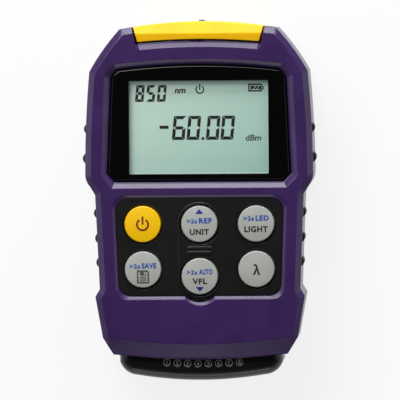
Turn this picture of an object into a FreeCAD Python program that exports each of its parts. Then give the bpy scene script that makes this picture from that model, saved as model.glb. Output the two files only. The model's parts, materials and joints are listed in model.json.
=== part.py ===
"""Handheld optical power meter with a fault-finder laser, a torch and a cable wire-map port.

Frame, in millimetres: the meter lies on its back. +X is to the right of the display, +Y runs
towards the optical ports, and +Z points out of the display. The rear face is the plane z = 0.
"""

import FreeCAD, Part
import math
import os
import re

import Sketcher

# Driving sizes: name, value, meaning. Every other size is worked out from these.
SIZES = [
    # outline of the case, seen from the front
    ("case_depth", 32.0, "rear face to front face"),
    ("split_height", 15.0, "parting plane of the two shells above the rear face"),
    ("wall", 2.0, "side walls of both shells"),
    ("front_wall", 3.0, "front wall, which carries the window and the keypad"),
    ("rear_wall", 3.0, "rear wall, which carries the battery door"),
    ("crown_y", 58.9, "crown of the arched top end"),
    ("shoulder_x", 26.0, "top corner, half width"),
    ("shoulder_y", 56.6, "top corner, height along the case"),
    ("shoulder_bulge", 0.35, "how far the slanted corner stands out from its chord"),
    ("temple_x", 36.1, "end of the slanted corner, half width"),
    ("temple_y", 42.6, "end of the slanted corner"),
    ("head_x", 37.7, "widest half width, beside the display"),
    ("head_bulge", 0.4, "crown of the long sides of the head"),
    ("jaw_y", 8.4, "lower end of the head"),
    ("jaw_round_x", 0.5, "jaw curve, drop in half width at its middle"),
    ("jaw_round_y", 2.2, "jaw curve, length to its middle"),
    ("jaw_low_x", 1.5, "jaw curve, drop in half width at its end"),
    ("jaw_low_y", 3.7, "jaw curve, length to its end"),
    ("neck_x", 34.5, "half width at the top of the grip"),
    ("neck_y", 1.9, "top of the grip"),
    ("waist_x", 33.2, "half width at the bottom of the grip"),
    ("waist_y", -29.3, "bottom of the grip"),
    ("hip_x", 34.7, "half width where the foot flares out"),
    ("hip_y", -31.8, "top of the flared foot"),
    ("foot_x", 32.3, "lower corner, half width"),
    ("foot_y", -45.4, "lower corner"),
    ("toe_x", 29.0, "bottom corner, half width"),
    ("toe_y", -50.8, "bottom corner"),
    ("tail_y", -52.7, "crown of the arched bottom end"),
    ("bevel_in", 2.0, "front bevel, width seen from the front"),
    ("bevel_down", 1.6, "front bevel, depth"),
    ("rear_bevel_in", 2.4, "rear bevel, width seen from the rear"),
    ("rear_bevel_up", 2.4, "rear bevel, height"),
    ("chin_y", -47.5, "top edge of the sloped band at the bottom end, in the middle"),
    ("chin_side_y", -44.7, "top edge of that band, at the sides"),
    ("chin_down", 2.6, "drop of that band"),
    ("chin_lip", 0.4, "edge of the case left below that band"),
    ("cavity_top_y", 46.8, "inner end wall behind the optical ports"),
    ("cavity_low_y", -47.9, "inner end wall behind the cable port"),
    ("cavity_brow", 3.4, "slanted upper corners of the hollow, width"),
    ("cavity_heel", 1.0, "lower corners of the hollow inside the case's own"),
    ("lip_wide", 0.8, "lip of the rear shell that centres the front shell, width"),
    ("lip_high", 1.2, "lip of the rear shell above the parting plane"),
    ("lip_play", 0.1, "play round the lip"),
    # display window
    ("lens_crown_y", 44.8, "top of the window, in the middle"),
    ("lens_corner_x", 26.3, "top corner of the window, half width"),
    ("lens_corner_y", 43.2, "top corner of the window"),
    ("lens_corner_bulge", 0.35, "how far the upper corner stands out from its chord"),
    ("lens_shoulder_x", 28.9, "upper end of the window's long side, half width"),
    ("lens_shoulder_y", 40.0, "upper end of the window's long side"),
    ("lens_side_x", 30.25, "lower end of the window's long side, half width"),
    ("lens_side_y", 8.8, "lower end of the window's long side"),
    ("lens_foot_x", 27.75, "bottom corner of the window, half width"),
    ("lens_foot_y", 6.35, "bottom edge of the window"),
    ("lens_thick", 1.4, "thickness of the window"),
    ("lens_bevel", 0.6, "polished bevel round the window"),
    ("lens_gap", 0.35, "play between the window and its recess"),
    ("gasket_thick", 0.3, "adhesive gasket under the window"),
    ("gasket_inset", 0.3, "gasket edge inside the window's edge"),
    ("seat_depth", 2.4, "seats of the window and the keypad below the front face"),
    ("frame_floor", 1.4, "floor of the sunken surround below the front face"),
    ("frame_inner_side", 0.45, "surround floor beside the window"),
    ("frame_inner_top", 0.45, "surround floor above the window"),
    ("frame_inner_low", 0.45, "surround floor below the window"),
    ("frame_outer_side", 2.3, "outer edge of the surround's slope beside the window"),
    ("frame_outer_top", 2.0, "outer edge of the slope above the window"),
    ("frame_outer_low", 2.3, "outer edge of the slope below the window"),
    ("view_x", 24.6, "opening over the display, half width"),
    ("view_low_y", 8.4, "opening over the display, lower edge"),
    ("view_top_y", 41.0, "opening over the display, upper edge"),
    # display stack
    ("glass_x", 25.5, "display glass, half width"),
    ("glass_low_y", 5.5, "display glass, lower edge"),
    ("glass_top_y", 42.5, "display glass, upper edge"),
    ("glass_thick", 1.8, "display glass with its polarisers"),
    ("glow_x", 24.5, "light guide, half width"),
    ("glow_low_y", 7.2, "light guide, lower edge"),
    ("zebra_x", 22.0, "contact strip, half length"),
    ("zebra_wide", 1.2, "contact strip, width"),
    ("holder_wall", 1.4, "wall of the display holder"),
    ("fit_gap", 0.1, "clearance of parts that drop into each other"),
    # circuit board
    ("board_down", 7.6, "upper face of the main board below the front face"),
    ("board_thick", 1.6, "main board"),
    ("board_gap", 0.4, "main board to the case wall"),
    ("chip_long", 14.0, "processor, side length"),
    ("chip_short", 6.0, "amplifier, side length"),
    ("chip_thick", 1.4, "both chips"),
    ("chip_y", 27.0, "middle of the processor"),
    ("amplifier_x", -14.0, "middle of the amplifier, across"),
    ("amplifier_y", 38.0, "middle of the amplifier, along"),
    # keypad
    ("keypad_top_x", 27.8, "keypad, half width at the top"),
    ("keypad_top_y", 0.9, "keypad, upper edge"),
    ("keypad_top_radius", 4.7, "keypad, upper corners"),
    ("keypad_low_x", 26.9, "keypad, half width at the bottom"),
    ("keypad_low_y", -31.7, "keypad, lower edge"),
    ("keypad_low_radius", 4.0, "keypad, lower corners"),
    ("dip_x", 4.9, "bulge in the lower edge, half width"),
    ("dip_y", -33.7, "bulge in the lower edge, lowest point"),
    ("keypad_thick", 1.4, "keypad panel"),
    ("keypad_gap", 0.12, "play between the panel and its recess"),
    ("keypad_bevel", 1.1, "bevel round the keypad recess, width"),
    ("keypad_bevel_down", 0.7, "bevel round the keypad recess, depth"),
    ("keypad_ledge", 0.9, "ledge under the panel's edge"),
    ("island_radius", 7.1, "raised middle column, half width"),
    ("island_rise", 0.35, "raised middle column"),
    ("ridge_x", 4.0, "ridges between the middle keys, half length"),
    ("ridge_y", -16.4, "middle of the two ridges"),
    ("ridge_pitch", 1.5, "spacing of the two ridges"),
    ("ridge_wide", 0.6, "each ridge"),
    ("dish_radius", 6.75, "dish round each key, radius"),
    ("dish_depth", 0.7, "dish round each key, depth"),
    ("key_column", 18.75, "outer key columns from the middle"),
    ("key_upper_y", -7.8, "upper row of keys"),
    ("key_lower_y", -22.8, "outer keys of the lower row"),
    ("key_middle_y", -25.1, "middle key of the lower row"),
    ("key_radius", 5.95, "key cap"),
    ("key_gap", 0.25, "play round a key cap"),
    ("key_dome", 0.35, "rise of the cap's crown"),
    ("key_edge", 0.5, "rounding of the cap's edge"),
    ("key_flat", 1.0, "flat spot in the middle of the crown, radius"),
    ("key_proud", 0.0, "edge of the cap above the front face"),
    ("flange_radius", 6.5, "flange that keeps the cap in"),
    ("flange_thick", 0.9, "flange"),
    ("flange_play", 0.2, "flange below the panel"),
    ("mat_thick", 1.0, "base of the silicone mat"),
    ("mat_x", 25.6, "silicone mat, half width"),
    ("mat_low_y", -31.0, "silicone mat, lower edge"),
    ("mat_radius", 3.0, "corners of the silicone mat"),
    ("dome_radius", 4.5, "dome of the mat under each key"),
    # screws
    ("boss_radius", 3.2, "screw bosses"),
    ("boss_high_x", 31.2, "upper bosses, from the middle"),
    ("boss_high_y", 36.0, "upper bosses"),
    ("boss_low_x", 26.8, "lower bosses, from the middle"),
    ("boss_low_y", -38.5, "lower bosses"),
    ("screw_radius", 1.2, "screw shank"),
    ("screw_head_radius", 2.5, "screw head"),
    ("screw_head_thick", 1.8, "screw head"),
    ("screw_seat", 6.0, "screw seat above the rear face"),
    ("screw_down", 7.0, "screw tip below the front face"),
    ("screw_spare", 1.0, "pilot hole beyond the screw tip"),
    ("screw_play", 0.05, "pilot hole round the screw"),
    ("screw_clearance", 0.3, "rear hole round the screw and its head"),
    ("cross_long", 1.5, "half length of the cross recess"),
    ("cross_wide", 0.35, "half width of the cross recess"),
    ("cross_deep", 1.0, "depth of the cross recess"),
    # rubber grip studs in the side walls
    ("stud_long", 3.2, "each stud along the case"),
    ("stud_proud", 0.85, "each stud out of the wall"),
    ("stud_sunk", 1.2, "each stud into the wall"),
    ("stud_low", 17.0, "lower end of the studs above the rear face"),
    ("stud_down", 4.0, "upper end of the studs below the front face"),
    ("stud_1_y", 23.65, "first stud"),
    ("stud_2_y", 13.9, "second stud"),
    ("stud_3_y", -4.2, "third stud"),
    ("stud_4_y", -12.5, "fourth stud"),
    ("stud_5_y", -20.5, "fifth stud"),
    # flap over the optical ports
    ("flap_top_x", 21.5, "flap, half width at the crown"),
    ("flap_low_x", 20.1, "flap, half width at its lower edge"),
    ("flap_low_y", 52.3, "flap, lower edge at the sides"),
    ("flap_mid_y", 53.2, "flap, lower edge in the middle"),
    ("flap_gap", 0.7, "gap round the flap"),
    ("flap_wall", 1.8, "wall of the flap"),
    ("flap_floor", 5.6, "rear side of the flap above the rear face"),
    ("sill_top", 2.0, "sill under the hinge barrel, top above the rear face"),
    ("sill_y", 54.0, "outer edge of that sill"),
    ("flap_front", 0.6, "crease of the flap below the front face"),
    ("flap_crease_y", 55.1, "crease of the flap"),
    ("flap_fall_top", 2.4, "fall of the flap from the crease to the crown"),
    ("flap_fall_low", 0.8, "fall of the flap from the crease to its lower edge"),
    ("lift_wide", 1.8, "finger slope below the flap, width"),
    ("lift_down", 1.6, "finger slope below the flap, depth"),
    ("lift_side_x", 19.3, "finger slope, half width of its lower edge"),
    ("lift_end_drop", 0.9, "finger slope, drop of its rounded ends below the flap's corners"),
    ("hinge_y", 55.2, "axis of the flap"),
    ("hinge_z", 4.4, "axis of the flap above the rear face"),
    ("barrel_radius", 2.1, "hinge barrel"),
    ("barrel_play", 0.3, "barrel to the lug and the cheeks"),
    ("pin_radius", 1.0, "hinge pin"),
    ("pin_play", 0.05, "bore round the hinge pin"),
    ("pin_half", 22.6, "half length of the hinge pin"),
    ("lug_half", 1.0, "middle hinge lug, half width"),
    ("lug_tip_y", 59.3, "tip of the middle hinge lug"),
    ("lug_top", 6.4, "top of the middle hinge lug"),
    ("lug_nose", 2.3, "thickness of the lug's nose"),
    ("lug_round", 0.6, "corners of the lug"),
    ("lug_slot_top", 9.4, "upper end of the slot for the lug in the flap"),
    # optical ports, clamped at the parting plane
    ("port_face_y", 49.8, "recess face that the ports stand on"),
    ("port_bay_x", 19.6, "recess round the ports, half width"),
    ("port_bay_low", 7.6, "recess round the ports, rear side"),
    ("port_pitch", 12.0, "spacing of the ports"),
    ("adapter_radius", 3.6, "adapter barrel"),
    ("adapter_flange", 5.0, "adapter flange, radius"),
    ("adapter_flange_thick", 1.6, "adapter flange"),
    ("adapter_nose", 4.4, "adapter length out of the recess face"),
    ("adapter_tail", 5.2, "adapter length into the case"),
    ("ferrule_radius", 1.26, "bore for a 2.5 mm ferrule"),
    ("thread_depth", 0.35, "relief behind the adapter's thread"),
    ("detector_radius", 2.7, "detector can"),
    ("detector_long", 4.2, "detector can"),
    ("laser_radius", 3.0, "laser module"),
    ("laser_long", 14.0, "laser module"),
    ("torch_radius", 2.5, "torch LED"),
    ("torch_long", 5.4, "torch LED without its dome"),
    ("torch_out", 1.0, "torch LED out of the recess face, up to its dome"),
    ("torch_collar", 0.5, "collar of the torch LED"),
    ("torch_tip", 0.4, "flat tip of the torch LED, radius"),
    # cap with the cable port at the bottom end
    ("cap_x", 27.1, "cap, half width"),
    ("cap_side_y", -53.6, "lower end of the cap's sides"),
    ("cap_corner_x", 21.2, "end of the cap's rounded corners, half width"),
    ("cap_corner_y", -58.2, "end of the cap's rounded corners"),
    ("cap_corner_out_x", 25.4, "middle of the rounded corners, half width"),
    ("cap_corner_out_y", -56.4, "middle of the rounded corners"),
    ("cap_low_y", -60.0, "crown of the cap's end"),
    ("cap_rear", 2.6, "rear side of the cap above the rear face"),
    ("cap_front", 26.6, "front side of the cap above the rear face"),
    ("cap_roll", 4.0, "rounding of the cap's front edge"),
    ("cap_reach", 6.0, "cap beside the case's bottom corners"),
    ("cap_gap", 0.1, "cap to the shells"),
    ("spigot_x", 11.5, "part of the cap inside the case, half width"),
    ("spigot_low", 7.2, "part inside the case, rear side"),
    ("spigot_high", 25.2, "part inside the case, front side"),
    ("spigot_y", -47.5, "inner end of that part"),
    ("jack_x", 8.0, "cable jack, half width"),
    ("jack_low", 9.2, "cable jack, rear side"),
    ("jack_high", 22.4, "cable jack, front side"),
    ("jack_sunk", 0.3, "jack behind the cap's end"),
    ("jack_long", 14.0, "cable jack, length"),
    ("plug_x", 5.9, "plug opening, half width"),
    ("plug_low", 12.2, "plug opening, rear side"),
    ("plug_high", 20.4, "plug opening, front side"),
    ("plug_deep", 12.0, "plug opening, depth"),
    ("latch_x", 3.1, "latch slot, half width"),
    ("latch_low", 10.4, "latch slot, rear side"),
    ("contact_count", 8, "contacts of the jack, and lamps of the wire map"),
    ("contact_pitch", 1.02, "spacing of the contacts"),
    ("contact_wide", 0.4, "each contact"),
    ("contact_deep", 9.0, "length of the contacts"),
    ("contact_drop", 1.0, "drop of the contacts into the opening"),
    ("lamp_board_thick", 1.2, "wire map board"),
    ("lamp_board_x", 15.0, "wire map board, half width"),
    ("lamp_board_low_y", -57.0, "wire map board, lower edge"),
    ("lamp_board_step_y", -53.4, "end of the board's wide part"),
    ("lamp_pitch", 3.4, "spacing of the lamps"),
    ("lamp_y", -54.5, "row of lamps"),
    ("lamp_long", 1.6, "each lamp, along the row"),
    ("lamp_short", 0.8, "each lamp, across the row"),
    ("lamp_thick", 0.7, "each lamp"),
    # batteries
    ("cell_radius", 5.2, "battery cell"),
    ("cell_long", 43.7, "battery cell without its nub"),
    ("nub_radius", 1.9, "nub of a battery cell"),
    ("nub_long", 0.8, "nub of a battery cell"),
    ("cell_pitch", 11.0, "spacing of the cells"),
    ("cell_lift", 0.3, "cells above the battery door"),
    ("bay_x", 17.2, "battery bay, half width"),
    ("bay_low_y", -42.0, "battery bay, lower end"),
    ("bay_spare", 3.2, "length of the bay beyond the cells, for the contacts"),
    ("bay_wall", 1.2, "walls of the battery bay"),
    ("bay_roof", 13.4, "roof of the bay above the rear face"),
    ("strip_thick", 0.4, "battery contact strips"),
    ("strip_half", 3.5, "battery contact strips, half width"),
    ("strip_low", 3.4, "battery contact strips, rear end"),
    ("strip_high", 12.2, "battery contact strips, front end"),
    ("spring_out", 2.6, "bow of the contact springs"),
    ("spring_flat", 0.8, "flat of the bow, half height"),
    ("spring_foot", 1.6, "foot of the bow, half height"),
    # battery door
    ("door_x", 18.8, "door, half width"),
    ("door_gap", 0.2, "play round the door"),
    ("door_top_y", 7.5, "door, upper end"),
    ("door_low_y", -51.6, "door, lower end"),
    ("door_outer", 0.2, "outer face of the door above the rear face"),
    ("door_inner", 2.0, "inner face of the door"),
    ("door_ledge", 2.2, "ledge over the door"),
    ("tongue_wide", 1.2, "rails of the door"),
    ("tongue_low", 1.0, "rails of the door, rear side"),
    ("tongue_high", 1.6, "rails of the door, front side"),
    ("tongue_start_y", -46.0, "rails of the door, lower end"),
    ("tongue_end_y", 5.0, "rails of the door, upper end"),
    ("thumb_count", 5, "grooves for the thumb"),
    ("thumb_pitch", 2.0, "spacing of the grooves"),
    ("thumb_wide", 0.8, "each groove"),
    ("thumb_half", 8.0, "half length of a groove"),
    ("thumb_deep", 0.5, "depth of a groove"),
    ("thumb_y", -3.0, "first groove"),
]

doc = FreeCAD.newDocument("optical_power_meter")
sizes = doc.addObject("Spreadsheet::Sheet", "Sizes")
for row, (alias, number, meaning) in enumerate(SIZES, start=1):
    sizes.set(f"A{row}", alias)
    sizes.set(f"B{row}", str(number))
    sizes.set(f"C{row}", meaning)
    sizes.setAlias(f"B{row}", alias)
doc.recompute()
ALIASES = {alias for alias, _, _ in SIZES}
CORNER = 1 - math.sqrt(0.5)  # middle of a rounded corner, as a share of its radius
parts = []


def formula(text):
    """The expression with each size name pointed at the spreadsheet."""
    return re.sub(r"[a-z_]\w*", lambda m: f"Sizes.{m[0]}" if m[0] in ALIASES else m[0], str(text))


def value(text):
    return float(sizes.evalExpression(formula(text)))


def bind(thing, **properties):
    """Ties properties to expressions; two underscores in a property name stand for a dot."""
    for name, text in properties.items():
        thing.setExpression(name.replace("__", "."), formula(text))


# ---------------------------------------------------------------- outlines


def via(x, y):
    """A point that the arc between its two neighbours in an outline passes through."""
    return ("via", x, y)


def circle(x, y, radius):
    return ("circle", x, y, radius)


def mirrored(half, top=(), bottom=()):
    """A whole outline from its right half, which runs from the top to the bottom."""
    left = [(*point[:-2], f"-({point[-2]})", point[-1]) for point in reversed(half)]
    return [*half, *bottom, *left, *top]


def rectangle(x0, y0, x1, y1):
    return [(x0, y0), (x1, y0), (x1, y1), (x0, y1)]


def inset(path, amount):
    """The outline moved inwards by an amount: each point goes along the mitre of its two sides."""
    spots = [FreeCAD.Vector(value(point[-2]), value(point[-1]), 0) for point in path]
    area = sum((a.cross(b)).z for a, b in zip(spots, spots[1:] + spots[:1]))
    turn = 1 if area > 0 else -1
    moved = []
    for index, point in enumerate(path):
        before, here, after = spots[index - 1], spots[index], spots[(index + 1) % len(spots)]
        sides = [(here - before).normalize(), (after - here).normalize()]
        normals = [FreeCAD.Vector(-side.y * turn, side.x * turn, 0) for side in sides]
        mitre = (normals[0] + normals[1]) * (1 / (1 + normals[0].dot(normals[1])))
        x = f"({point[-2]}) + ({amount})*({mitre.x:.5f})"
        y = f"({point[-1]}) + ({amount})*({mitre.y:.5f})"
        moved.append((*point[:-2], x, y))
    return moved


def rounded(x0, y0, x1, y1, radius):
    x0, y0, x1, y1, r = (f"({text})" for text in (x0, y0, x1, y1, radius))
    k = f"{r}*{CORNER:.6f}"
    return [
        (f"{x0} + {r}", y0),
        (f"{x1} - {r}", y0),
        via(f"{x1} - {k}", f"{y0} + {k}"),
        (x1, f"{y0} + {r}"),
        (x1, f"{y1} - {r}"),
        via(f"{x1} - {k}", f"{y1} - {k}"),
        (f"{x1} - {r}", y1),
        (f"{x0} + {r}", y1),
        via(f"{x0} + {k}", f"{y1} - {k}"),
        (x0, f"{y1} - {r}"),
        (x0, f"{y0} + {r}"),
        via(f"{x0} + {k}", f"{y0} + {k}"),
    ]


def case_outline():
    right = [
        ("shoulder_x", "shoulder_y"),
        via("(shoulder_x + temple_x)/2 + shoulder_bulge", "(shoulder_y + temple_y)/2 + shoulder_bulge"),
        ("temple_x", "temple_y"),
        via("(temple_x + head_x)/2 + head_bulge", "(temple_y + jaw_y)/2"),
        ("head_x", "jaw_y"),
        via("head_x - jaw_round_x", "jaw_y - jaw_round_y"),
        ("head_x - jaw_low_x", "jaw_y - jaw_low_y"),
        ("neck_x", "neck_y"),
        ("waist_x", "waist_y"),
        ("hip_x", "hip_y"),
        ("foot_x", "foot_y"),
        ("toe_x", "toe_y"),
    ]
    return mirrored(right, top=[via("0", "crown_y")], bottom=[via("0", "tail_y")])


def cavity_outline(gap="0"):
    """The hollow of the case, and what lies in it with a gap all round."""
    right = [
        (f"temple_x - wall - cavity_brow - {gap}", f"cavity_top_y - {gap}"),
        (f"temple_x - wall - {gap}", f"temple_y - wall - {gap}"),
        (f"head_x - wall - {gap}", f"jaw_y - {gap}"),
        (f"neck_x - wall - {gap}", f"neck_y - wall - {gap}"),
        (f"waist_x - wall - {gap}", f"waist_y + {gap}"),
        (f"foot_x - wall - {gap}", f"foot_y + wall + {gap}"),
        (f"toe_x - wall - cavity_heel - {gap}", f"cavity_low_y + {gap}"),
    ]
    return mirrored(right)


def window_outline(side, top, low):
    """The window's outline, grown by the given amounts beside, above and below it."""
    middle_x, middle_y = "(lens_corner_x + lens_shoulder_x)/2", "(lens_corner_y + lens_shoulder_y)/2"
    right = [
        (f"lens_corner_x + {side}*0.5", f"lens_corner_y + {top}"),
        via(f"{middle_x} + lens_corner_bulge + {side}*0.7", f"{middle_y} + lens_corner_bulge + {top}*0.7"),
        (f"lens_shoulder_x + {side}", f"lens_shoulder_y + {top}*0.5"),
        (f"lens_side_x + {side}", f"lens_side_y - {low}*0.3"),
        (f"lens_foot_x + {side}*0.5", f"lens_foot_y - {low}"),
    ]
    return mirrored(right, top=[via("0", f"lens_crown_y + {top}")])


def keypad_outline(grow):
    r, s = "keypad_top_radius", "keypad_low_radius"
    right = [
        (f"keypad_top_x + {grow} - {r}", f"keypad_top_y + {grow}"),
        via(f"keypad_top_x + {grow} - {r}*{CORNER:.6f}", f"keypad_top_y + {grow} - {r}*{CORNER:.6f}"),
        (f"keypad_top_x + {grow}", f"keypad_top_y + {grow} - {r}"),
        (f"keypad_low_x + {grow}", f"keypad_low_y - {grow} + {s}"),
        via(f"keypad_low_x + {grow} - {s}*{CORNER:.6f}", f"keypad_low_y - {grow} + {s}*{CORNER:.6f}"),
        (f"keypad_low_x + {grow} - {s}", f"keypad_low_y - {grow}"),
        ("dip_x", f"keypad_low_y - {grow}"),
    ]
    return mirrored(right, bottom=[via("0", f"dip_y - {grow}")])


def crown_y_at(x):
    """Height along the case of its arched top end at a half width x."""
    return f"crown_y - (crown_y - shoulder_y)*({x})^2/shoulder_x^2"


# ---------------------------------------------------------------- sketches


def fix_point(sketch, geometry, position, x, y):
    """Holds one point of the sketch at the expressions x and y."""
    for kind, text in (("DistanceX", x), ("DistanceY", y)):
        index = sketch.addConstraint(Sketcher.Constraint(kind, -1, 1, geometry, position, value(text)))
        sketch.setExpression(f"Constraints[{index}]", formula(text))


def add_circle(sketch, x, y, radius):
    centre = FreeCAD.Vector(value(x), value(y), 0)
    geometry = sketch.addGeometry(Part.Circle(centre, FreeCAD.Vector(0, 0, 1), value(radius)), False)
    fix_point(sketch, geometry, 3, x, y)
    index = sketch.addConstraint(Sketcher.Constraint("Radius", geometry, value(radius)))
    sketch.setExpression(f"Constraints[{index}]", formula(radius))


def add_outline(sketch, path):
    """A closed outline of lines, and of arcs where a via point stands between two corners."""
    corners = [point for point in path if point[0] != "via"]
    spans = []
    for index, point in enumerate(path):
        following = path[(index + 1) % len(path)]
        if point[0] == "via":
            continue
        if following[0] == "via":
            spans.append((point, following[1:], path[(index + 2) % len(path)]))
        else:
            spans.append((point, None, following))
    ends = []
    for start, middle, end in spans:
        a, b = (FreeCAD.Vector(value(x), value(y), 0) for x, y in (start, end))
        if middle is None:
            ends.append((sketch.addGeometry(Part.LineSegment(a, b), False), 1, 2))
            continue
        m = FreeCAD.Vector(value(middle[0]), value(middle[1]), 0)
        anticlockwise = (m - a).cross(b - m).z > 0
        geometry = sketch.addGeometry(Part.Arc(a, m, b) if anticlockwise else Part.Arc(b, m, a), False)
        ends.append((geometry, 1, 2) if anticlockwise else (geometry, 2, 1))
        guide = sketch.addGeometry(Part.Point(m), True)
        fix_point(sketch, guide, 1, *middle)
        sketch.addConstraint(Sketcher.Constraint("PointOnObject", guide, 1, geometry))
    for index, (geometry, _, last) in enumerate(ends):
        after, first, _ = ends[(index + 1) % len(ends)]
        sketch.addConstraint(Sketcher.Constraint("Coincident", geometry, last, after, first))
    for (geometry, first, _), (x, y) in zip(ends, corners):
        fix_point(sketch, geometry, first, x, y)


PLANES = {"XY": "XY_Plane", "XZ": "XZ_Plane", "YZ": "YZ_Plane"}


def sketch_on(body, plane, loops, at):
    """A sketch on one of the body's own origin planes, at a height along the third axis."""
    sketch = body.newObject("Sketcher::SketchObject", f"{body.Name}_sketch")
    origin = next(f for f in body.Origin.OriginFeatures if f.Role == PLANES[plane])
    sketch.AttachmentSupport = [(origin, "")]
    sketch.MapMode = "FlatFace"
    bind(sketch, AttachmentOffset__Base__z=f"-({at})" if plane == "XZ" else at)
    for loop in loops:
        if loop[0] == "circle":
            add_circle(sketch, *loop[1:])
        else:
            add_outline(sketch, loop)
    return sketch


# ---------------------------------------------------------------- features


def new_body(label):
    body = doc.addObject("PartDesign::Body", label)
    body.Label = label
    parts.append(body)
    return body


def grow(body, kind, plane, loops, low, high):
    """A pad or pocket of the loops from low to high along the plane's third axis."""
    feature = body.newObject(f"PartDesign::{kind}", f"{body.Name}_{kind.lower()}")
    feature.Profile = sketch_on(body, plane, loops, high if plane == "XZ" else low)
    feature.Reversed = kind == "Pocket"
    bind(feature, Length=f"({high}) - ({low})")
    return feature


def pad(body, plane, loops, low, high):
    return grow(body, "Pad", plane, loops, low, high)


def pocket(body, plane, loops, low, high):
    return grow(body, "Pocket", plane, loops, low, high)


def loft(body, kind, lower, low, upper, high):
    """A ruled solid between two outlines in planes of constant height, added or taken away."""
    feature = body.newObject(f"PartDesign::{kind}Loft", f"{body.Name}_loft")
    feature.Profile = sketch_on(body, "XY", [lower], low)
    feature.Sections = [sketch_on(body, "XY", [upper], high)]
    feature.Ruled = True
    return feature


def bevelled(body, outline, low, high, amount, rising=True):
    """A slab of the outline whose upper edge, or else its lower edge, leans in by the amount."""
    narrow = inset(outline, amount)
    below, above = (outline, narrow) if rising else (narrow, outline)
    return loft(body, "Additive", below, low, above, high)


def roll_edges(body, test, radius):
    """A fillet on the edges of the body's last feature that pass the test."""
    doc.recompute()
    base = body.Tip
    edges = [f"Edge{index}" for index, edge in enumerate(base.Shape.Edges, start=1) if test(edge)]
    feature = body.newObject("PartDesign::Fillet", f"{body.Name}_roll")
    feature.Base = (base, edges)
    bind(feature, Radius=radius)
    return feature


def revolve(body, profile, plane="XZ", axis="V_Axis"):
    """A turned solid of a profile drawn in a plane of the body, about one of the sketch's axes."""
    feature = body.newObject("PartDesign::Revolution", f"{body.Name}_turned")
    sketch = sketch_on(body, plane, [profile], "0")
    feature.Profile = sketch
    feature.ReferenceAxis = (sketch, [axis])
    feature.Angle = 360
    return feature


# ---------------------------------------------------------------- shells

CEILING = "case_depth - front_wall"
SEAT = "case_depth - seat_depth"  # ledges that carry the window and the keypad
BOARD_TOP = "case_depth - board_down"
BOARD_LOW = f"{BOARD_TOP} - board_thick"
STUD_TOP = "case_depth - stud_down"
SCREW_TIP = "case_depth - screw_down"
BAY_TOP = "bay_low_y + cell_long + nub_long + bay_spare"
BEYOND = 1.6  # the flap's gap is drawn this many times the flap's height, to pass the crown
SCREWS = [
    ("boss_high_x", "boss_high_y"),
    ("-boss_high_x", "boss_high_y"),
    ("boss_low_x", "boss_low_y"),
    ("-boss_low_x", "boss_low_y"),
]
KEYS = {
    "power_key": ("-key_column", "key_upper_y"),
    "unit_key": ("0", "key_upper_y"),
    "light_key": ("key_column", "key_upper_y"),
    "save_key": ("-key_column", "key_lower_y"),
    "laser_key": ("0", "key_middle_y"),
    "wavelength_key": ("key_column", "key_lower_y"),
}
PORTS = {"detector": "-port_pitch", "laser": "0", "torch": "port_pitch"}
STUD_PLACES = [(side, f"stud_{number}_y") for side in (1, -1) for number in range(1, 6)]


def stud_wall(y):
    """Half width of the case at a stud: the head's side, or the tapering grip."""
    if value(y) > value("jaw_y"):
        return f"head_x + (temple_x - head_x)*({y} - jaw_y)/(temple_y - jaw_y) + head_bulge*0.8"
    return f"waist_x + (neck_x - waist_x)*({y} - waist_y)/(neck_y - waist_y)"


def stud_outline(side, y):
    """One stud seen from the front, with a round outer edge."""
    wall_x = stud_wall(y)
    return [
        (f"{side}*({wall_x} - stud_sunk)", f"{y} + stud_long/2"),
        (f"{side}*({wall_x})", f"{y} + stud_long/2"),
        via(f"{side}*({wall_x} + stud_proud)", y),
        (f"{side}*({wall_x})", f"{y} - stud_long/2"),
        (f"{side}*({wall_x} - stud_sunk)", f"{y} - stud_long/2"),
    ]


def flap_bay(body, low, high):
    """The gap in the top end that the flap fills."""
    right = [
        (f"flap_low_x + (flap_top_x - flap_low_x)*{BEYOND} + flap_gap",
         f"flap_low_y + (crown_y - flap_low_y)*{BEYOND}"),
        ("flap_low_x + flap_gap", "flap_low_y - flap_gap"),
    ]
    pocket(body, "XY", [mirrored(right, bottom=[via("0", "flap_mid_y - flap_gap")])], low, high)


def sill_bay(body):
    """Room for the open flap behind the sill that closes the gap under its hinge barrel."""
    far = f"flap_low_x + (flap_top_x - flap_low_x)*{BEYOND} + flap_gap"
    right = [(far, f"flap_low_y + (crown_y - flap_low_y)*{BEYOND}"), ("flap_low_x + flap_gap", "sill_y")]
    pocket(body, "XY", [mirrored(right)], "0", "sill_top")


def port_recess(body, low, high):
    recess = rectangle("-port_bay_x", "port_face_y", "port_bay_x", "flap_mid_y")
    pocket(body, "XY", [recess], low, high)


def port_bores(body):
    for name, x in PORTS.items():
        radius = "torch_radius + fit_gap" if name == "torch" else "adapter_radius + pin_play"
        pocket(body, "XZ", [circle(x, "split_height", radius)], "cavity_top_y - wall", "port_face_y + wall")


def spigot_opening(body):
    right, high = "spigot_x + cap_gap", "spigot_high + cap_gap"
    opening = rectangle(f"-({right})", "spigot_low - cap_gap", right, high)
    pocket(body, "XZ", [opening], "tail_y - wall", "cavity_low_y + wall")


def stud_sockets(body):
    pocket(body, "XY", [stud_outline(side, y) for side, y in STUD_PLACES], "stud_low", STUD_TOP)


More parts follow.
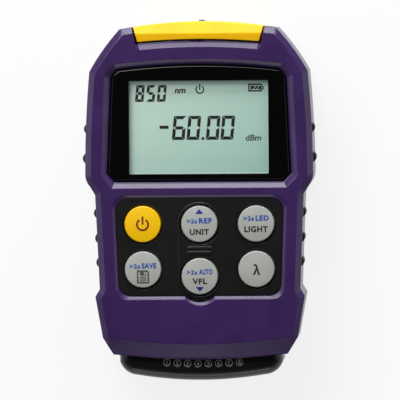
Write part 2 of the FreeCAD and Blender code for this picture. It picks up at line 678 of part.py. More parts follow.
def make_front_shell():
    body = new_body("front_shell")
    pad(body, "XY", [case_outline()], "split_height", "case_depth - bevel_down")
    bevelled(body, case_outline(), "case_depth - bevel_down", "case_depth", "bevel_in")
    pocket(body, "XY", [cavity_outline()], "split_height", CEILING)
    pad(body, "XY", [circle(x, y, "boss_radius") for x, y in SCREWS], "split_height", CEILING)
    pilots = [circle(x, y, "screw_radius + screw_play") for x, y in SCREWS]
    pocket(body, "XY", pilots, "split_height", f"{SCREW_TIP} + screw_spare")
    # groove for the rear shell's lip
    groove = [cavity_outline("-(lip_wide + lip_play)"), cavity_outline("lip_play")]
    pocket(body, "XY", groove, "split_height", "split_height + lip_high + lip_play")
    # sloped band at the bottom end
    upper = [
        ("head_x", "chin_side_y + 2*bevel_in"),
        ("head_x", "cap_low_y"),
        ("-head_x", "cap_low_y"),
        ("-head_x", "chin_side_y + 2*bevel_in"),
        ("-foot_x", "chin_side_y"),
        via("0", "chin_y"),
        ("foot_x", "chin_side_y"),
    ]
    lower = [
        ("head_x", "toe_y + 2*bevel_in"),
        ("head_x", "cap_low_y - 2*bevel_in"),
        ("-head_x", "cap_low_y - 2*bevel_in"),
        ("-head_x", "toe_y + 2*bevel_in"),
        ("-foot_x", "toe_y + chin_lip"),
        via("0", "tail_y + chin_lip"),
        ("foot_x", "toe_y + chin_lip"),
    ]
    loft(body, "Subtractive", lower, "case_depth - chin_down", upper, "case_depth")
    # sunken surround, seat and opening of the window
    loft(
        body,
        "Subtractive",
        window_outline("frame_inner_side", "frame_inner_top", "frame_inner_low"),
        "case_depth - frame_floor",
        window_outline("frame_outer_side", "frame_outer_top", "frame_outer_low"),
        "case_depth",
    )
    pocket(body, "XY", [window_outline("lens_gap", "lens_gap", "lens_gap")], SEAT, "case_depth")
    pocket(body, "XY", [rectangle("-view_x", "view_low_y", "view_x", "view_top_y")], CEILING, SEAT)
    # keypad recess with its bevelled rim, and the opening under the keys
    edge = "case_depth - keypad_bevel_down"
    loft(body, "Subtractive", keypad_outline("0"), edge, keypad_outline("keypad_bevel"), "case_depth")
    pocket(body, "XY", [keypad_outline("0")], SEAT, edge)
    pocket(body, "XY", [keypad_outline("-keypad_ledge")], CEILING, SEAT)
    # top end: finger slope, gap for the flap, recess and seats of the ports
    bay_x, bay_y = "flap_low_x + flap_gap", "flap_low_y - flap_gap"
    slope_top = [
        (bay_x, "flap_low_y + lift_wide"),
        (bay_x, f"{bay_y} - lift_wide + lift_end_drop*1.5"),
        ("lift_side_x", f"{bay_y} - lift_wide"),
    ]
    slope_foot = [
        (f"{bay_x} - lift_end_drop*0.2", "flap_low_y + lift_wide"),
        (f"{bay_x} - lift_end_drop*0.2", f"{bay_y} + lift_end_drop*0.4"),
        (f"{bay_x} - lift_end_drop", bay_y),
    ]
    loft(
        body,
        "Subtractive",
        mirrored(slope_foot, bottom=[via("0", "flap_mid_y - flap_gap")]),
        "case_depth - lift_down",
        mirrored(slope_top, bottom=[via("0", "flap_mid_y - flap_gap - lift_wide")]),
        "case_depth",
    )
    flap_bay(body, "split_height", "case_depth")
    port_recess(body, "split_height", CEILING)
    port_bores(body)
    spigot_opening(body)
    stud_sockets(body)


def make_rear_shell():
    body = new_body("rear_shell")
    pad(body, "XY", [case_outline()], "rear_bevel_up", "split_height")
    bevelled(body, case_outline(), "0", "rear_bevel_up", "rear_bevel_in", rising=False)
    pocket(body, "XY", [cavity_outline()], "rear_wall", "split_height")
    lip = [cavity_outline("-lip_wide"), cavity_outline()]
    pad(body, "XY", lip, "split_height", "split_height + lip_high")
    pad(body, "XY", [circle(x, y, "boss_radius") for x, y in SCREWS], "rear_wall", "split_height")
    heads = [circle(x, y, "screw_head_radius + screw_clearance") for x, y in SCREWS]
    pocket(body, "XY", heads, "0", "screw_seat")
    shafts = [circle(x, y, "screw_radius + screw_clearance") for x, y in SCREWS]
    pocket(body, "XY", shafts, "0", "split_height")
    # battery bay, then the recess, rails and opening of its door
    side = "bay_x + bay_wall"
    outer = rectangle(f"-({side})", "bay_low_y - bay_wall", side, f"{BAY_TOP} + bay_wall")
    pad(body, "XY", [outer], "rear_wall", "bay_roof + bay_wall")
    pocket(body, "XY", [rectangle("-bay_x", "bay_low_y", "bay_x", BAY_TOP)], "0", "bay_roof")
    side = "door_x + door_gap"
    recess = rectangle(f"-({side})", "tail_y - wall", side, "door_top_y + door_gap")
    pocket(body, "XY", [recess], "0", "door_ledge")
    rail = "door_x + door_gap + tongue_wide"
    slots = rectangle(f"-({rail})", "tail_y - wall", rail, "tongue_end_y + door_gap")
    pocket(body, "XY", [slots], "tongue_low - door_gap", "tongue_high + door_gap")
    # top end, with the lug that carries the middle of the flap's hinge pin
    top = "split_height + lip_high"
    flap_bay(body, "sill_top", top)
    sill_bay(body)
    port_recess(body, "port_bay_low", top)
    port_bores(body)
    root, barrel = "flap_mid_y - flap_gap - lug_round", "hinge_y + barrel_radius"
    lug = [
        (root, "lug_nose*0.2"),
        ("lug_tip_y - lug_round", "lug_nose*0.2"),
        ("lug_tip_y", "lug_nose*0.5"),
        ("lug_tip_y", "lug_nose"),
        (barrel, "lug_nose + lug_round"),
        (barrel, "lug_top - lug_round"),
        (f"{barrel} - lug_round", "lug_top"),
        (root, "lug_top"),
    ]
    pad(body, "YZ", [lug], "-lug_half", "lug_half")
    pocket(body, "YZ", [circle("hinge_y", "hinge_z", "pin_radius + pin_play")],
           "-pin_half - fit_gap", "pin_half + fit_gap")
    spigot_opening(body)


def make_screws():
    body = new_body("shell_screws")
    pad(body, "XY", [circle(x, y, "screw_radius") for x, y in SCREWS], "screw_seat", SCREW_TIP)
    heads = [circle(x, y, "screw_head_radius") for x, y in SCREWS]
    pad(body, "XY", heads, "screw_seat - screw_head_thick", "screw_seat")
    for half_x, half_y in (("cross_long", "cross_wide"), ("cross_wide", "cross_long")):
        slots = [rectangle(f"{x} - {half_x}", f"{y} - {half_y}", f"{x} + {half_x}", f"{y} + {half_y}")
                 for x, y in SCREWS]
        head = "screw_seat - screw_head_thick"
        pocket(body, "XY", slots, head, f"{head} + cross_deep")


def make_studs():
    for label, own in (("grip_studs_right", 1), ("grip_studs_left", -1)):
        body = new_body(label)
        outlines = [stud_outline(side, y) for side, y in STUD_PLACES if side == own]
        pad(body, "XY", outlines, "stud_low", STUD_TOP)


# ---------------------------------------------------------------- display


def make_display():
    body = new_body("window_gasket")
    edge = "-gasket_inset"
    opening = rectangle("-view_x", "view_low_y", "view_x", "view_top_y")
    pad(body, "XY", [window_outline(edge, edge, edge), opening], SEAT, f"{SEAT} + gasket_thick")

    body = new_body("display_window")
    rest, top = f"{SEAT} + gasket_thick", f"{SEAT} + gasket_thick + lens_thick"
    pad(body, "XY", [window_outline("0", "0", "0")], rest, f"{top} - lens_bevel")
    bevelled(body, window_outline("0", "0", "0"), f"{top} - lens_bevel", top, "lens_bevel")

    glass_low = f"{CEILING} - glass_thick"
    body = new_body("lcd_panel")
    pad(body, "XY", [rectangle("-glass_x", "glass_low_y", "glass_x", "glass_top_y")], glass_low, CEILING)
    body = new_body("lcd_backlight")
    pad(body, "XY", [rectangle("-glow_x", "glow_low_y", "glow_x", "glass_top_y")], BOARD_TOP, glass_low)
    body = new_body("zebra_strip")
    strip = rectangle("-zebra_x", "glass_low_y", "zebra_x", "glass_low_y + zebra_wide")
    pad(body, "XY", [strip], BOARD_TOP, glass_low)
    body = new_body("lcd_frame")
    side = "glass_x + fit_gap"
    inner = rectangle(f"-({side})", "glass_low_y - fit_gap", side, "glass_top_y + fit_gap")
    outer = rectangle("-glass_x - fit_gap - holder_wall", "glass_low_y - fit_gap - holder_wall",
                      "glass_x + fit_gap + holder_wall", "glass_top_y + fit_gap + holder_wall")
    pad(body, "XY", [outer, inner], BOARD_TOP, CEILING)


def make_board():
    body = new_body("main_board")
    pad(body, "XY", [cavity_outline("board_gap")], BOARD_LOW, BOARD_TOP)
    pocket(body, "XY", [circle(x, y, "boss_radius + board_gap") for x, y in SCREWS], BOARD_LOW, BOARD_TOP)
    notch = rectangle("-spigot_x - board_gap", "cavity_low_y", "spigot_x + board_gap",
                      "cap_low_y + jack_sunk + jack_long + board_gap")
    pocket(body, "XY", [notch], BOARD_LOW, BOARD_TOP)
    for label, x, y, side in (("processor_chip", "0", "chip_y", "chip_long"),
                              ("amplifier_chip", "amplifier_x", "amplifier_y", "chip_short")):
        body = new_body(label)
        outline = rectangle(f"{x} - {side}/2", f"{y} - {side}/2", f"{x} + {side}/2", f"{y} + {side}/2")
        pad(body, "XY", [outline], f"{BOARD_LOW} - chip_thick", BOARD_LOW)


# ---------------------------------------------------------------- keypad


def make_keypad():
    top = f"{SEAT} + keypad_thick"
    body = new_body("keypad_panel")
    pad(body, "XY", [keypad_outline("-keypad_gap")], SEAT, top)
    island = rounded("-island_radius", "key_middle_y - island_radius", "island_radius",
                     "key_upper_y + island_radius", "island_radius*0.98")
    pad(body, "XY", [island], top, f"{top} + island_rise")
    for sign in (1, -1):
        middle = f"ridge_y + {sign}*ridge_pitch/2"
        ridge = rectangle("-ridge_x", f"{middle} - ridge_wide/2", "ridge_x", f"{middle} + ridge_wide/2")
        pad(body, "XY", [ridge], f"{top} + island_rise", f"{top} + 2*island_rise")
    dishes = [circle(x, y, "dish_radius") for x, y in KEYS.values()]
    pocket(body, "XY", dishes, f"{top} - dish_depth", f"{top} + island_rise")
    holes = [circle(x, y, "key_radius + key_gap") for x, y in KEYS.values()]
    pocket(body, "XY", holes, SEAT, f"{top} + island_rise")

    body = new_body("keypad_mat")
    base = rounded("-mat_x", "mat_low_y", "mat_x", "keypad_top_y - keypad_ledge", "mat_radius")
    pad(body, "XY", [base], BOARD_TOP, f"{BOARD_TOP} + mat_thick")
    domes = [circle(x, y, "dome_radius") for x, y in KEYS.values()]
    flange_top = f"{SEAT} - flange_play"
    pad(body, "XY", domes, f"{BOARD_TOP} + mat_thick", f"{flange_top} - flange_thick")

    edge = "case_depth + key_proud"
    for label, (x, y) in KEYS.items():
        body = new_body(label)
        profile = [
            ("0", f"{flange_top} - flange_thick"),
            ("flange_radius", f"{flange_top} - flange_thick"),
            ("flange_radius", flange_top),
            ("key_radius", flange_top),
            ("key_radius", f"{edge} - key_edge"),
            via(f"key_radius - key_edge*{CORNER:.6f}", f"{edge} - key_edge*{CORNER:.6f}"),
            ("key_radius - key_edge", edge),
            via("(key_radius + key_flat)/2", f"{edge} + key_dome*0.78"),
            ("key_flat", f"{edge} + key_dome"),
            ("0", f"{edge} + key_dome"),
        ]
        revolve(body, profile)
        bind(body, Placement__Base__x=x, Placement__Base__y=y)


# ---------------------------------------------------------------- optical ports


def make_ports():
    for label, radius in (("detector_adapter", "adapter_radius"), ("laser_adapter", "adapter_radius")):
        body = new_body(label)
        nose, tail = "port_face_y + adapter_nose", "port_face_y - adapter_tail"
        rim = f"{nose} - thread_depth"
        profile = [
            ("ferrule_radius", tail),
            (radius, tail),
            (radius, "port_face_y"),
            ("adapter_flange", "port_face_y"),
            ("adapter_flange", "port_face_y + adapter_flange_thick"),
            (f"{radius} - thread_depth", "port_face_y + adapter_flange_thick"),
            (f"{radius} - thread_depth", "port_face_y + adapter_flange_thick + 2*thread_depth"),
            (radius, "port_face_y + adapter_flange_thick + 3*thread_depth"),
            (radius, rim),
            (f"{radius} - thread_depth", nose),
            ("ferrule_radius + thread_depth", nose),
            ("ferrule_radius", rim),
        ]
        revolve(body, profile, "XY", "V_Axis")
        bind(body, Placement__Base__x=PORTS[label.split("_")[0]], Placement__Base__z="split_height")
    for label, radius, length in (("detector_module", "detector_radius", "detector_long"),
                                  ("laser_module", "laser_radius", "laser_long")):
        body = new_body(label)
        x = PORTS[label.split("_")[0]]
        end = "port_face_y - adapter_tail"
        pad(body, "XZ", [circle(x, "split_height", radius)], f"{end} - {length}", end)
    body = new_body("torch_led")
    dome = "port_face_y + torch_out"
    base = f"{dome} - torch_long"
    profile = [
        ("0", base),
        ("torch_radius + torch_collar", base),
        ("torch_radius + torch_collar", "cavity_top_y"),
        ("torch_radius", "cavity_top_y"),
        ("torch_radius", dome),
        via(f"torch_radius*{math.sqrt(0.5):.6f}", f"{dome} + torch_radius*{math.sqrt(0.5):.6f}"),
        ("torch_tip", f"{dome} + sqrt(torch_radius^2 - torch_tip^2)"),
        ("0", f"{dome} + sqrt(torch_radius^2 - torch_tip^2)"),
    ]
    revolve(body, profile, "XY", "V_Axis")
    bind(body, Placement__Base__x=PORTS["torch"], Placement__Base__z="split_height")


def make_flap():
    body = new_body("port_flap")
    crease = "case_depth - flap_front"
    near, far, wide = "flap_low_y - flap_wall", "crown_y + flap_wall", "flap_top_x + flap_wall"
    profile = [
        (near, "flap_floor"),
        (far, "flap_floor"),
        (far, f"{crease} - flap_fall_top"),
        ("flap_crease_y", crease),
        (near, f"{crease} - flap_fall_low"),
    ]
    pad(body, "YZ", [profile], f"-({wide})", wide)
    crown = crown_y_at("flap_top_x")
    right = [("flap_top_x", crown), ("flap_low_x", "flap_low_y")]
    outline = mirrored(right, top=[via("0", "crown_y")], bottom=[via("0", "flap_mid_y")])
    around = rectangle(f"-2*({wide})", f"{near} - flap_wall", f"2*({wide})", f"{far} + flap_wall")
    pocket(body, "XY", [around, outline], "flap_floor", "case_depth")
    hollow = mirrored(
        [("flap_top_x - flap_wall", f"{crown} - flap_wall"), ("flap_low_x - flap_wall", near)],
        top=[via("0", "crown_y - flap_wall")],
    )
    pocket(body, "XY", [hollow], "flap_floor + flap_wall", f"{crease} - flap_fall_top - flap_wall*0.2")
    pad(body, "YZ", [circle("hinge_y", "hinge_z", "barrel_radius")],
        "-flap_low_x + barrel_play", "flap_low_x - barrel_play")
    slot = rectangle("-lug_half - barrel_play", near, "lug_half + barrel_play", far)
    pocket(body, "XY", [slot], "0", "lug_slot_top")
    pocket(body, "YZ", [circle("hinge_y", "hinge_z", "pin_radius + pin_play")], "-flap_top_x", "flap_top_x")

    body = new_body("hinge_pin")
    pad(body, "YZ", [circle("hinge_y", "hinge_z", "pin_radius")], "-pin_half", "pin_half")


# ---------------------------------------------------------------- cable port


def cap_outline():
    """The cap seen from the front; its upper side is cut off along the case's arched end."""
    right = [
        ("cap_x", "toe_y + cap_reach"),
        ("cap_x", "cap_side_y"),
        via("cap_corner_out_x", "cap_corner_out_y"),
        ("cap_corner_x", "cap_corner_y"),
    ]
    return mirrored(right, bottom=[via("0", "cap_low_y")])


def make_cap():
    body = new_body("end_cap")
    pad(body, "XY", [cap_outline()], "cap_rear", "cap_front")
    front, inner = value("cap_front"), value("toe_y + cap_reach")

    def outer_front_edge(edge):
        return all(abs(v.Z - front) < 0.01 for v in edge.Vertexes) and edge.CenterOfMass.y < inner - 0.1

    roll_edges(body, outer_front_edge, "cap_roll")
    arch = [
        ("toe_x", "toe_y - cap_gap"),
        via("0", "tail_y - cap_gap"),
        ("-toe_x", "toe_y - cap_gap"),
        ("-toe_x", "toe_y + 2*cap_reach"),
        ("toe_x", "toe_y + 2*cap_reach"),
    ]
    pocket(body, "XY", [arch], "cap_rear", "case_depth")
    spigot = rectangle("-spigot_x", "spigot_low", "spigot_x", "spigot_high")
    pad(body, "XZ", [spigot], "tail_y - cap_gap - wall", "spigot_y")
    jack = rectangle("-jack_x - fit_gap", "jack_low - fit_gap", "jack_x + fit_gap", "jack_high + fit_gap")
    pocket(body, "XZ", [jack], "cap_low_y - wall", "spigot_y + wall")
    room = rectangle("-lamp_board_x - fit_gap", "lamp_board_low_y - fit_gap",
                     "lamp_board_x + fit_gap", "spigot_y + wall")
    pocket(body, "XY", [room], "jack_high", "jack_high + lamp_board_thick + lamp_thick + 2*fit_gap")


def make_cable_port():
    end = "cap_low_y + jack_sunk"
    body = new_body("lan_jack")
    outer = rectangle("-jack_x", "jack_low", "jack_x", "jack_high")
    pad(body, "XZ", [outer], end, f"{end} + jack_long")
    mouth = [
        ("-plug_x", "plug_low"),
        ("-latch_x", "plug_low"),
        ("-latch_x", "latch_low"),
        ("latch_x", "latch_low"),
        ("latch_x", "plug_low"),
        ("plug_x", "plug_low"),
        ("plug_x", "plug_high"),
        ("-plug_x", "plug_high"),
    ]
    pocket(body, "XZ", [mouth], f"{end} - jack_sunk", f"{end} + plug_deep")

    body = new_body("lan_jack_contacts")
    count = int(value("contact_count"))
    for index in range(count):
        x = f"contact_pitch*({index} - (contact_count - 1)/2)"
        wire = [
            (f"{end} + plug_deep", "plug_high"),
            (f"{end} + plug_deep - contact_deep", "plug_high"),
            (f"{end} + plug_deep", "plug_high - contact_drop"),
        ]
        pad(body, "YZ", [wire], f"{x} - contact_wide/2", f"{x} + contact_wide/2")

    body = new_body("lan_board")
    right = [
        ("jack_x", f"{end} + jack_long"),
        ("jack_x", "lamp_board_step_y"),
        ("lamp_board_x", "lamp_board_step_y"),
        ("lamp_board_x", "lamp_board_low_y"),
    ]
    pad(body, "XY", [mirrored(right)], "jack_high", "jack_high + lamp_board_thick")

    body = new_body("lan_lamps")
    top = "jack_high + lamp_board_thick"
    lamps = []
    for index in range(count):
        x = f"lamp_pitch*({index} - (contact_count - 1)/2)"
        lamps.append(rectangle(f"{x} - lamp_long/2", "lamp_y - lamp_short/2",
                               f"{x} + lamp_long/2", "lamp_y + lamp_short/2"))
    pad(body, "XY", lamps, top, f"{top} + lamp_thick")


# ---------------------------------------------------------------- power


def make_batteries():
    height = "door_inner + cell_lift + cell_radius"
    low = "bay_low_y + bay_spare - strip_thick"
    cell = [
        ("0", low),
        ("cell_radius", low),
        ("cell_radius", f"{low} + cell_long"),
        ("nub_radius", f"{low} + cell_long"),
        ("nub_radius", f"{low} + cell_long + nub_long"),
        ("0", f"{low} + cell_long + nub_long"),
    ]
    for number in (1, 2, 3):
        body = new_body(f"battery_cell_{number}")
        revolve(body, cell, "XY", "V_Axis")
        bind(body, Placement__Base__x=f"cell_pitch*({number} - 2)", Placement__Base__z=height)
    places = [f"cell_pitch*{step}" for step in (-1, 0, 1)]
    body = new_body("battery_plates")
    plates = [rectangle(f"{x} - strip_half", "strip_low", f"{x} + strip_half", "strip_high") for x in places]
    pad(body, "XZ", plates, f"{BAY_TOP} - strip_thick", BAY_TOP)
    body = new_body("battery_springs")
    bow = [
        ("bay_low_y", "strip_low"),
        ("bay_low_y + strip_thick", "strip_low"),
        ("bay_low_y + strip_thick", f"{height} - spring_foot"),
        ("bay_low_y + spring_out", f"{height} - spring_flat"),
        ("bay_low_y + spring_out", f"{height} + spring_flat"),
        ("bay_low_y + strip_thick", f"{height} + spring_foot"),
        ("bay_low_y + strip_thick", "strip_high"),
        ("bay_low_y", "strip_high"),
    ]
    for x in places:
        pad(body, "YZ", [bow], f"{x} - strip_half", f"{x} + strip_half")


def make_door():
    body = new_body("battery_door")
    plate = rectangle("-door_x", "door_low_y", "door_x", "door_top_y")
    pad(body, "XY", [plate], "door_outer", "door_inner")
    rails = rectangle("-door_x - tongue_wide", "tongue_start_y", "door_x + tongue_wide", "tongue_end_y")
    pad(body, "XY", [rails], "tongue_low", "tongue_high")
    grooves = []
    for index in range(int(value("thumb_count"))):
        y = f"thumb_y - thumb_pitch*{index}"
        grooves.append(rectangle("-thumb_half", f"{y} - thumb_wide", "thumb_half", y))
    pocket(body, "XY", grooves, "door_outer", "door_outer + thumb_deep")


make_front_shell()
make_rear_shell()
make_screws()
make_studs()
make_display()
make_board()
make_keypad()
make_ports()
make_flap()
make_cap()
make_cable_port()
make_batteries()
make_door()
doc.recompute()

for thing in doc.Objects:
    if {"Invalid", "Error"} & set(thing.State):
        raise RuntimeError(f"{thing.Label} failed: {thing.State}")
os.makedirs("parts", exist_ok=True)
for part in parts:
    if part.Shape.isNull() or not part.Shape.isValid():
        raise RuntimeError(f"{part.Label} has no sound shape")
for part in parts:
    part.Shape.exportStep(f"parts/{part.Label}.step")
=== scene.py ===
"""Optical power meter: its finishes, printed legends, display and studio, around the CAD frame."""
import json
import math

import bmesh
import bpy
from mathutils import Matrix, Vector
from mathutils.bvhtree import BVHTree

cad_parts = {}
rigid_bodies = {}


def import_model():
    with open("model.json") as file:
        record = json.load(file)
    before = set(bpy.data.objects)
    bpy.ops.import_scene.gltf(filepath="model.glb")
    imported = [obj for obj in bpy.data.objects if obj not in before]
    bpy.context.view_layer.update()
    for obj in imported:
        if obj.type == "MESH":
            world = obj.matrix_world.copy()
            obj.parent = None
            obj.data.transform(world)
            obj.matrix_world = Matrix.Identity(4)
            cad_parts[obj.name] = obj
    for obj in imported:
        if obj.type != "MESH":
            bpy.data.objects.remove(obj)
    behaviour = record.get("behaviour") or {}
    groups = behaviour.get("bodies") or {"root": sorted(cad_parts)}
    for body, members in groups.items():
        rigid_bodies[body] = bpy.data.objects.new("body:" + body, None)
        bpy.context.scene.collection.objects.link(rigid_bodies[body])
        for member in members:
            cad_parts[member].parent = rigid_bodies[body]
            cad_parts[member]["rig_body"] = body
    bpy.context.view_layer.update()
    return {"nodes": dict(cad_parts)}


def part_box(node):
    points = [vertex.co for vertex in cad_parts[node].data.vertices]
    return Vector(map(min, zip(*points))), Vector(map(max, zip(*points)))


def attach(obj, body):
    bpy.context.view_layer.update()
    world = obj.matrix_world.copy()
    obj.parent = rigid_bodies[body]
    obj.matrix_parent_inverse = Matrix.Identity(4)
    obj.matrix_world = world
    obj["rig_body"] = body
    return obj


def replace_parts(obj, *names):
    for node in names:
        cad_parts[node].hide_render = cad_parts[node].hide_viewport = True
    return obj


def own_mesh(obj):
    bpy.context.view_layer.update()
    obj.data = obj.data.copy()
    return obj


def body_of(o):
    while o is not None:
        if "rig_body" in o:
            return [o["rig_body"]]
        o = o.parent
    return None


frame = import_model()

MM = 0.001
INK = 0.02 * MM  # half the thickness of a printed legend
ABOVE = 1 * MM  # how far above a piece the search for the surface under a print starts
LEAST_SHARP = 24  # edges that turn by fewer degrees are part of a curve, and aren't rounded

# ---------------------------------------------------------------- materials


def colour(code):
    """Linear RGBA of an sRGB hex code."""
    channels = [int(code[at:at + 2], 16) / 255 for at in (1, 3, 5)]
    linear = [c / 12.92 if c <= 0.04045 else ((c + 0.055) / 1.055) ** 2.4 for c in channels]
    return (*linear, 1.0)


def add(tree, kind, settings=None, **inputs):
    """A new node with its settings and inputs. An input goes by its name, or by its number as _0, _1.

    It is given as a value, or as a link: a node and the name of that node's output.
    """
    made = tree.nodes.new(kind)
    for name, setting in (settings or {}).items():
        setattr(made, name, setting)
    for name, given in inputs.items():
        socket = made.inputs[int(name[1:])] if name[1:].isdigit() else made.inputs[name.replace("_", " ")]
        if isinstance(given, tuple) and isinstance(given[0], bpy.types.Node):
            tree.links.new(given[0].outputs[given[1]], socket)
        else:
            socket.default_value = given
    return made


def start_material(name):
    """An empty node material: its tree, its shader, and the piece's own coordinates in metres."""
    material = bpy.data.materials.new(name)
    material.use_nodes = True
    tree = material.node_tree
    tree.nodes.clear()
    shader = add(tree, "ShaderNodeBsdfPrincipled")
    add(tree, "ShaderNodeOutputMaterial", Surface=(shader, "BSDF"))
    place = add(tree, "ShaderNodeTexCoord")
    return material, tree, shader, place


def finish(shader, **values):
    """Constants set on the shader's own sockets."""
    for name, given in values.items():
        shader.inputs[name.replace("_", " ")].default_value = given


def mottled(tree, place, size_mm, light, dark):
    """A soft variation between two colours over patches of a size in millimetres."""
    noise = add(tree, "ShaderNodeTexNoise", Vector=(place, "Object"), Scale=1 / (size_mm * MM), Detail=3.0)
    ramp = add(tree, "ShaderNodeValToRGB", Fac=(noise, "Fac"))
    first, last = ramp.color_ramp.elements
    first.position, first.color = 0.35, colour(dark)
    last.position, last.color = 0.65, colour(light)
    return ramp


def grained(tree, shader, place, size_mm, depth_mm, strength, rough_low, rough_high):
    """Grain of a size in millimetres: a bump, with the roughness following it.

    Real grain is finer than a tenth of a millimetre and wouldn't show, so it is drawn as coarse as it
    needs to show, at 0.2 to 0.4. The larger sizes are the slight waves of smooth faces.
    """
    noise = add(tree, "ShaderNodeTexNoise", Vector=(place, "Object"), Scale=1 / (size_mm * MM), Detail=2.0)
    bump = add(tree, "ShaderNodeBump", Height=(noise, "Fac"), Strength=strength, Distance=depth_mm * MM)
    tree.links.new(bump.outputs["Normal"], shader.inputs["Normal"])
    spread = add(tree, "ShaderNodeMapRange", Value=(noise, "Fac"), To_Min=rough_low, To_Max=rough_high)
    tree.links.new(spread.outputs["Result"], shader.inputs["Roughness"])


def moulded(name, light, dark, grain_mm, strength, rough, patch_mm=9.0, **extra):
    """A moulded or coated face: two close shades in soft patches, and a grain that sets its sheen."""
    depth_mm = 0.03
    material, tree, shader, place = start_material(name)
    shade = mottled(tree, place, patch_mm, light, dark)
    tree.links.new(shade.outputs["Color"], shader.inputs["Base Color"])
    grained(tree, shader, place, grain_mm, depth_mm, strength, *rough)
    finish(shader, IOR=1.5, **extra)
    return material


def metal(name, light, dark, rough):
    """A plated metal: two close tones in small patches, and a faint grain that blurs its reflections."""
    grain_mm, depth_mm, strength = 0.3, 0.01, 0.2
    material, tree, shader, place = start_material(name)
    tone = mottled(tree, place, grain_mm * 6, light, dark)
    tree.links.new(tone.outputs["Color"], shader.inputs["Base Color"])
    grained(tree, shader, place, grain_mm, depth_mm, strength, rough - 0.06, rough + 0.08)
    finish(shader, Metallic=1.0)
    return material


def make_materials():
    """Every finish, by the name that the pieces use."""
    made = {}
    # ABS, moulded in a fine spark-eroded texture: matt, with soft highlights along the edges
    made["case"] = moulded("purple_abs_textured", "#392157", "#321b4e", 0.35, 0.45, (0.27, 0.37))
    # the same ABS on the door, from another tool and so a touch darker
    made["door"] = moulded("purple_abs_door", "#361e53", "#2f194a", 0.35, 0.35, (0.29, 0.39))
    # ABS in yellow, moulded smooth: satin, with a broad highlight
    made["flap"] = moulded("yellow_abs_satin", "#fcc401", "#f8bb00", 0.5, 0.08, (0.46, 0.56),
                          Specular_IOR_Level=0.3)
    # polycarbonate round the keys, moulded in a matt mould: black with a soft sheen
    made["keypad"] = moulded("black_polycarbonate_matt", "#121011", "#0e0c0d", 0.3, 0.3, (0.3, 0.4))
    # key caps in painted ABS: a thin satin lacquer over a flat colour
    made["grey_key"] = moulded("grey_lacquered_abs", "#abada8", "#a4a6a1", 0.25, 0.1, (0.3, 0.4))
    made["yellow_key"] = moulded("yellow_lacquered_abs", "#f4c203", "#efbb00", 0.25, 0.1, (0.3, 0.4))
    # a paler band round each cap's edge: a painted highlight, standing for the light that the caps' rounded
    # corners catch all round
    made["grey_rim"] = moulded("grey_lacquer_painted_highlight", "#eceeea", "#e4e6e2", 0.25, 0.1, (0.25, 0.35))
    made["yellow_rim"] = moulded("yellow_lacquer_painted_highlight", "#ffe84a", "#ffe036", 0.25, 0.1, (0.25, 0.35))
    # smoked polycarbonate, moulded in a polished mould: nearly black, with soft reflections
    made["cap"] = moulded("smoked_polycarbonate_gloss", "#131010", "#0d0b0b", 0.6, 0.06, (0.26, 0.36))
    # acrylic with a black border printed behind it: deep black under a polished face
    made["border"] = moulded("black_printed_acrylic", "#040404", "#030303", 0.8, 0.02, (0.05, 0.09))
    # thermoplastic rubber, moulded: dull black with no clear highlight
    made["rubber"] = moulded("black_rubber_moulded", "#1a1a1b", "#121213", 0.25, 0.4, (0.6, 0.75))
    # silicone of the key mat and the contact strip, moulded: a soft waxy grey
    made["silicone"] = moulded("grey_silicone_moulded", "#8d8f8f", "#808282", 0.4, 0.2, (0.5, 0.65))
    # ABS of the display holder, moulded in white: half matt
    made["holder"] = moulded("white_abs_moulded", "#dedfdb", "#d5d6d2", 0.4, 0.15, (0.4, 0.5))
    # glass epoxy under a green solder resist, screen-printed: uneven green with a half gloss
    made["board"] = moulded("green_solder_resist", "#0f5a34", "#0c4c2c", 0.5, 0.25, (0.25, 0.4), patch_mm=2.5)
    # epoxy of the chips, moulded: dull black with a fine tooth
    made["epoxy"] = moulded("black_epoxy_moulded", "#1b1b1c", "#151516", 0.2, 0.3, (0.5, 0.65))
    # epoxy of the lamps, cast clear, and the acrylic light guide: bright edges, and see-through between them
    made["clear"] = moulded("clear_epoxy_cast", "#eef4f6", "#e2eaee", 0.8, 0.02, (0.08, 0.14), Alpha=0.55)
    # brass, turned and nickel plated: a warm pale metal with clear reflections
    made["nickel"] = metal("nickel_plated_brass_turned", "#c9c6bf", "#bab6ae", 0.24)
    # steel, zinc plated: bluish grey with dull reflections
    made["zinc"] = metal("zinc_plated_steel", "#b9bcc0", "#a5a9ad", 0.34)
    # steel, tinned and pressed: a neutral pale grey with blurred reflections
    made["tinned"] = metal("tinned_steel_pressed", "#c2c3c3", "#b2b3b3", 0.3)
    # bronze contacts, gold plated: a yellow metal, nearly polished
    made["gold"] = metal("gold_plated_bronze", "#e0b45a", "#d2a54c", 0.22)
    # the cells' film jackets, shrunk on: plain grey with a smooth shine
    made["jacket"] = moulded("grey_battery_jacket", "#4a4d52", "#404347", 0.6, 0.05, (0.25, 0.35))
    # printed inks, the display's figures and signs, and a pale line round its view that is a painted
    # highlight: thin, slightly raised and half matt
    for name, code in (("blue_ink", "#00429c"), ("navy_ink", "#041a80"), ("dark_ink", "#1e1e20"),
                       ("red_ink", "#6c1004"), ("grey_ink", "#4c4d4b"), ("white_ink", "#a9a9a6"),
                       ("segment", "#0d0e0d"), ("faint_segment", "#161c1a"), ("view_edge_painted_highlight", "#cfe2d8")):
        made[name] = moulded(f"{name}_printed", code, code, 0.2, 0.1, (0.45, 0.55))
    made["display"] = display_material()
    made["pane"] = pane_material()
    return made


